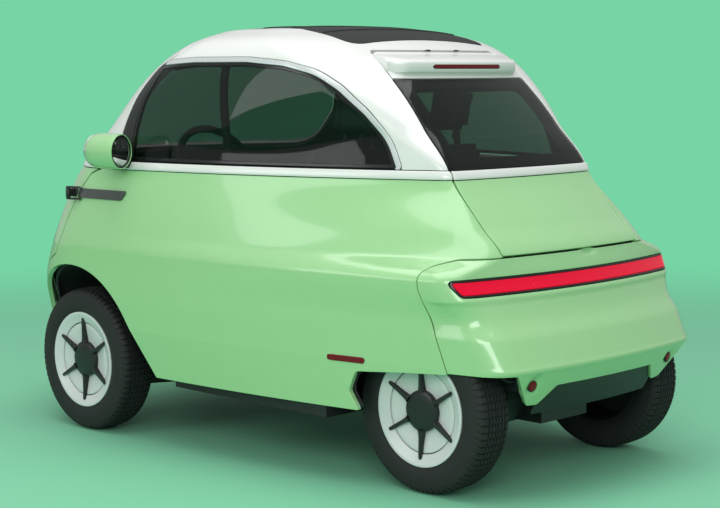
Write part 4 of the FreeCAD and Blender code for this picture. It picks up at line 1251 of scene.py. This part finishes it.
def slab(node_name, shrink, lean):
    """Eight corners of a leaning slab inside a CAD node, drawn in from its faces."""
    y0, y1 = ends(node_name, "y")
    z0, z1 = ends(node_name, "z")
    s, c = math.sin(lean), math.cos(lean)
    half = ends(node_name, "x")[1] - shrink
    tall = ((z1 - z0) * c - (y1 - y0) * s) / (c * c - s * s)
    thick = ((y1 - y0) * c - (z1 - z0) * s) / (c * c - s * s)
    section = box_outline(shrink, thick - shrink, shrink, tall - shrink)
    return [(x, y0 + a * c + b * s, z0 + thick * s - a * s + b * c)
            for x in (-half, half) for a, b in section]


seat_lean = math.radians(14)
for part, lean, pull, seams, middle_seam, facing in (
        ("cushion", 0, 26, (-340, -170, 170, 340), (12, 16), (0, 0, 1)),
        ("back", seat_lean, 24, (-330, -130, 130, 330), (10, 14), (0, -1, 0.2))):
    name = "seat_%s_pad" % part
    pad = stuffed(name, rounded_block(name, slab("seat_" + part, 9, lean), pull), 8, 12)
    channels(pad, seams, 6, 12, facing)
    channels(pad, (0,), *middle_seam, facing)
    finish_pad(name, pad, ["seat_" + part])
s, c = math.sin(seat_lean), math.cos(seat_lean)
back_y0, back_z0 = ends("seat_back", "y")[0], ends("seat_back", "z")[0] + 95 * s


headrest_x = 240.0     # middle of a headrest from the middle of the car


def along_back(x, a, b):
    """A place b up the seat's back and a behind its front face."""
    return x, back_y0 + a * c + b * s, back_z0 - a * s + b * c


for side, way in both_sides:
    x = way * headrest_x
    corners = [along_back(x + half, a, b) for half in (-106, 106)
               for a, b in ((12, 630), (70, 630), (70, 794), (12, 794))]
    name = "headrest_pad_" + side
    finish_pad(name, stuffed(name, rounded_block("headrest", corners, 24), 5, 9), ["headrests"])
    for k, step in enumerate((-40, 40)):
        path = [along_back(x + step, 41, b) for b in (600, 615, 630, 645)]
        add_piece("headrest_post_%s_%d" % (side, k), swept("headrest_post", path, 5, bright_steel))

# ---------------------------------------------------------------- steering wheel, column and dash
column_tilt = math.radians(32)
way = np.array([0, math.cos(column_tilt), math.sin(column_tilt)])
side_way, up_way = np.array([1.0, 0, 0]), np.array([0, -math.sin(column_tilt), math.cos(column_tilt)])
hoop_c = np.array([290.0, -350.0, belt_z - 7])
hoop_r, hoop_t = 168.0, 14.0


def on_hoop(turn, radius, along=0.0):
    return hoop_c + (side_way * math.cos(turn) + up_way * math.sin(turn)) * radius + way * along


hoop_path = [on_hoop(2 * math.pi * k / 72, hoop_r) for k in range(72)]
add_piece("steering_hoop", swept("steering_hoop", hoop_path, hoop_t, wheel_leather, closed=True, sides=20),
          nodes=["steering_wheel"], body="steering_wheel", sharp=60)
boss = [(-42, 0), (-42, 44), (-38, 47.5), (-20, 48), (-14, 46), (-10, 38), (-8.5, 20), (-8, 0)]
add_piece("steering_boss", lathe("steering_boss", boss, hoop_c, way, cabin_plastic),
          body="steering_wheel")
for k, degrees in enumerate((0, 180, 270)):
    path = [on_hoop(math.radians(degrees), r, -20 + 14 * rise(r, 60, 165))
            for r in (30, 50, 70, 95, 120, 145, 164)]
    add_piece("steering_spoke_%d" % k, swept("steering_spoke", path, 9.5, cabin_plastic),
              body="steering_wheel")
column_top = hoop_c - way * 42.3
shroud = [(-180, 0), (-180, 26), (-172, 31), (-90, 32), (-30, 32), (-6, 30.5), (0, 27), (0, 0)]
add_piece("column_shroud", lathe("column_shroud", shroud, column_top, way, cabin_plastic, 48),
          nodes=["steering_column"])
foot_y, foot_z = (column_top - way * 165)[1:]
floor_z1 = 257.0
column = [(0, 0), (0, 25), (3, 26), (foot_z - floor_z1, 26), (foot_z - floor_z1, 0)]
add_piece("column_post",
          lathe("column_post", column, (hoop_c[0], foot_y, floor_z1), (0, 0, 1), coated_steel, 40))
dash_y0, dash_y1 = ends("dashboard", "y")
dash_z0, dash_z1 = ends("dashboard", "z")
dash_half = ends("dashboard", "x")[1] - 8
dash_shape = [(dash_y0 + 2, dash_z0 + 14), (dash_y1 - 12, dash_z0 + 2), (dash_y1 - 2, dash_z0 + 22),
              (dash_y1 - 6, dash_z1 - 8), (dash_y1 - 22, dash_z1 - 1), (dash_y0 + 2, dash_z1 - 1)]
add_piece("dashboard_bar",
          extruded("dashboard_bar", dash_shape, "x", -dash_half, dash_half, cabin_plastic, 7, 4),
          nodes=["dashboard"], body="front_door")

# ---------------------------------------------------------------- finishes of the parts under the body
# Cast iron knuckles: dark, rough skin.
cast_iron = material("cast_iron", "#3a3b3c", (0.6, 0.75), 18, 0.3, 2.2, "#454544", Metallic=0.5)
# Painted cast aluminium of the drive unit: dark grey, fine sand grain.
cast_aluminium = material("cast_aluminium", "#3f4143", (0.45, 0.58), 30, 0.2, 1.6, "#4b4d4f", Metallic=0.7)
# Pressed fibre wheel housings: black, matt, coarse.
pressed_fibre = material("pressed_fibre", "#17181a", (0.85, 0.95), 12, 0.5, 3, "#222325")
for finish, names in ((coated_steel, ("floor_pan", "rear_arms", "front_suspension")),
                      (cast_iron, ("knuckle_left", "knuckle_right")), (cast_aluminium, ("drive_unit",)),
                      (pressed_fibre, ("front_housings", "rear_housings")),
                      (lining_felt, ("boot_floor",)), (cabin_plastic, ("seat_base",))):
    for name in names:
        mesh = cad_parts[name].data
        mesh.materials.clear()
        mesh.materials.append(finish)

# ---------------------------------------------------------------- floor, light and camera
wall_paint = "#77d4a5"


def seen_rays(tree):
    """1 for rays that show the backdrop, straight or through glass."""
    rays = node(tree, "ShaderNodeLightPath").outputs
    return node(tree, "ShaderNodeMath", {0: rays["Is Camera Ray"], 1: rays["Is Transmission Ray"]},
                {"operation": "ADD", "use_clamp": True}).outputs["Value"]


# Studio floor and wall: mint paint, even and matt.
floor_paint = material("studio_paint", "#7cc7a1", (0.75, 0.8), 400, 0, 1, "#7cc7a1")
paint = floor_paint.node_tree
away = node(paint, "ShaderNodeVectorMath", {0: node(paint, "ShaderNodeTexCoord").outputs["Object"]},
            {"operation": "LENGTH"})
fade = node(paint, "ShaderNodeMapRange", {"Value": away.outputs["Value"]},
            {"interpolation_type": "SMOOTHSTEP"}, From_Min=2.2, From_Max=6.0)
wall_glow = node(paint, "ShaderNodeEmission")
wall_glow.inputs["Color"].default_value = colour(wall_paint)
shown_floor = node(paint, "ShaderNodeMixShader",
                   {0: node(paint, "ShaderNodeMath", {0: fade.outputs["Result"], 1: seen_rays(paint)},
                            {"operation": "MULTIPLY"}).outputs["Value"],
                    1: paint.nodes["Principled BSDF"].outputs["BSDF"], 2: wall_glow.outputs["Emission"]})
paint.links.new(shown_floor.outputs["Shader"], paint.nodes["Material Output"].inputs["Surface"])
floor_mesh = bpy.data.meshes.new("studio_floor")
floor_mesh.from_pydata([(-40, -40, 0), (40, -40, 0), (40, 40, 0), (-40, 40, 0)], [], [(0, 1, 2, 3)])
floor_mesh.materials.append(floor_paint)
linked("studio_floor", floor_mesh)

camera_data = bpy.data.cameras.new("camera")
camera_data.sensor_width = 36
camera_data.lens = 82.15
camera = linked("camera", camera_data)
camera_place = Vector((4.2601, 4.3441, 1.3260))
azimuth, elevation, roll = math.radians(134.8892), math.radians(6.2651), math.radians(-0.2622)
back = Vector((math.sin(azimuth) * math.cos(elevation), -math.cos(azimuth) * math.cos(elevation),
               math.sin(elevation)))
right = (-back).cross(Vector((0, 0, 1))).normalized()
up = right.cross(-back)
turned = Matrix.Rotation(roll, 3, back) @ Matrix((right, up, back)).transposed()
camera.matrix_world = Matrix.Translation(camera_place) @ turned.to_4x4()
bpy.context.scene.camera = camera


def soft_light(name, place, target, size, watts):
    """A rectangular lamp turned to its target."""
    lamp = bpy.data.lights.new(name, "AREA")
    lamp.energy = watts
    lamp.shape = "RECTANGLE"
    lamp.size, lamp.size_y = size
    holder = linked(name, lamp)
    way = Vector(place) - Vector(target)
    holder.matrix_world = Matrix.Translation(place) @ way.to_track_quat("Z", "Y").to_matrix().to_4x4()


soft_light("overhead", (0.5, 0.5, 5.0), (0, 0, 0.5), (5, 5), 170)
soft_light("rear_left", (5.0, 5.0, 3.4), (0, 0, 0.7), (3.5, 2.4), 150)
soft_light("left", (6.0, -1.5, 2.5), (0, 0, 0.6), (3, 3), 60)
world = bpy.data.worlds.new("studio")
world.use_nodes = True
bpy.context.scene.world = world
sky = world.node_tree
shown = node(sky, "ShaderNodeMix", {"Factor": seen_rays(sky)}, {"data_type": "RGBA"})
shown.inputs["A"].default_value = [0.58 * v for v in colour("#e6ece9")]
shown.inputs["B"].default_value = colour(wall_paint)
sky.links.new(shown.outputs["Result"], sky.nodes["Background"].inputs["Color"])
sky.nodes["Background"].inputs["Strength"].default_value = 1.0
bpy.context.scene.view_settings.view_transform = "Standard"
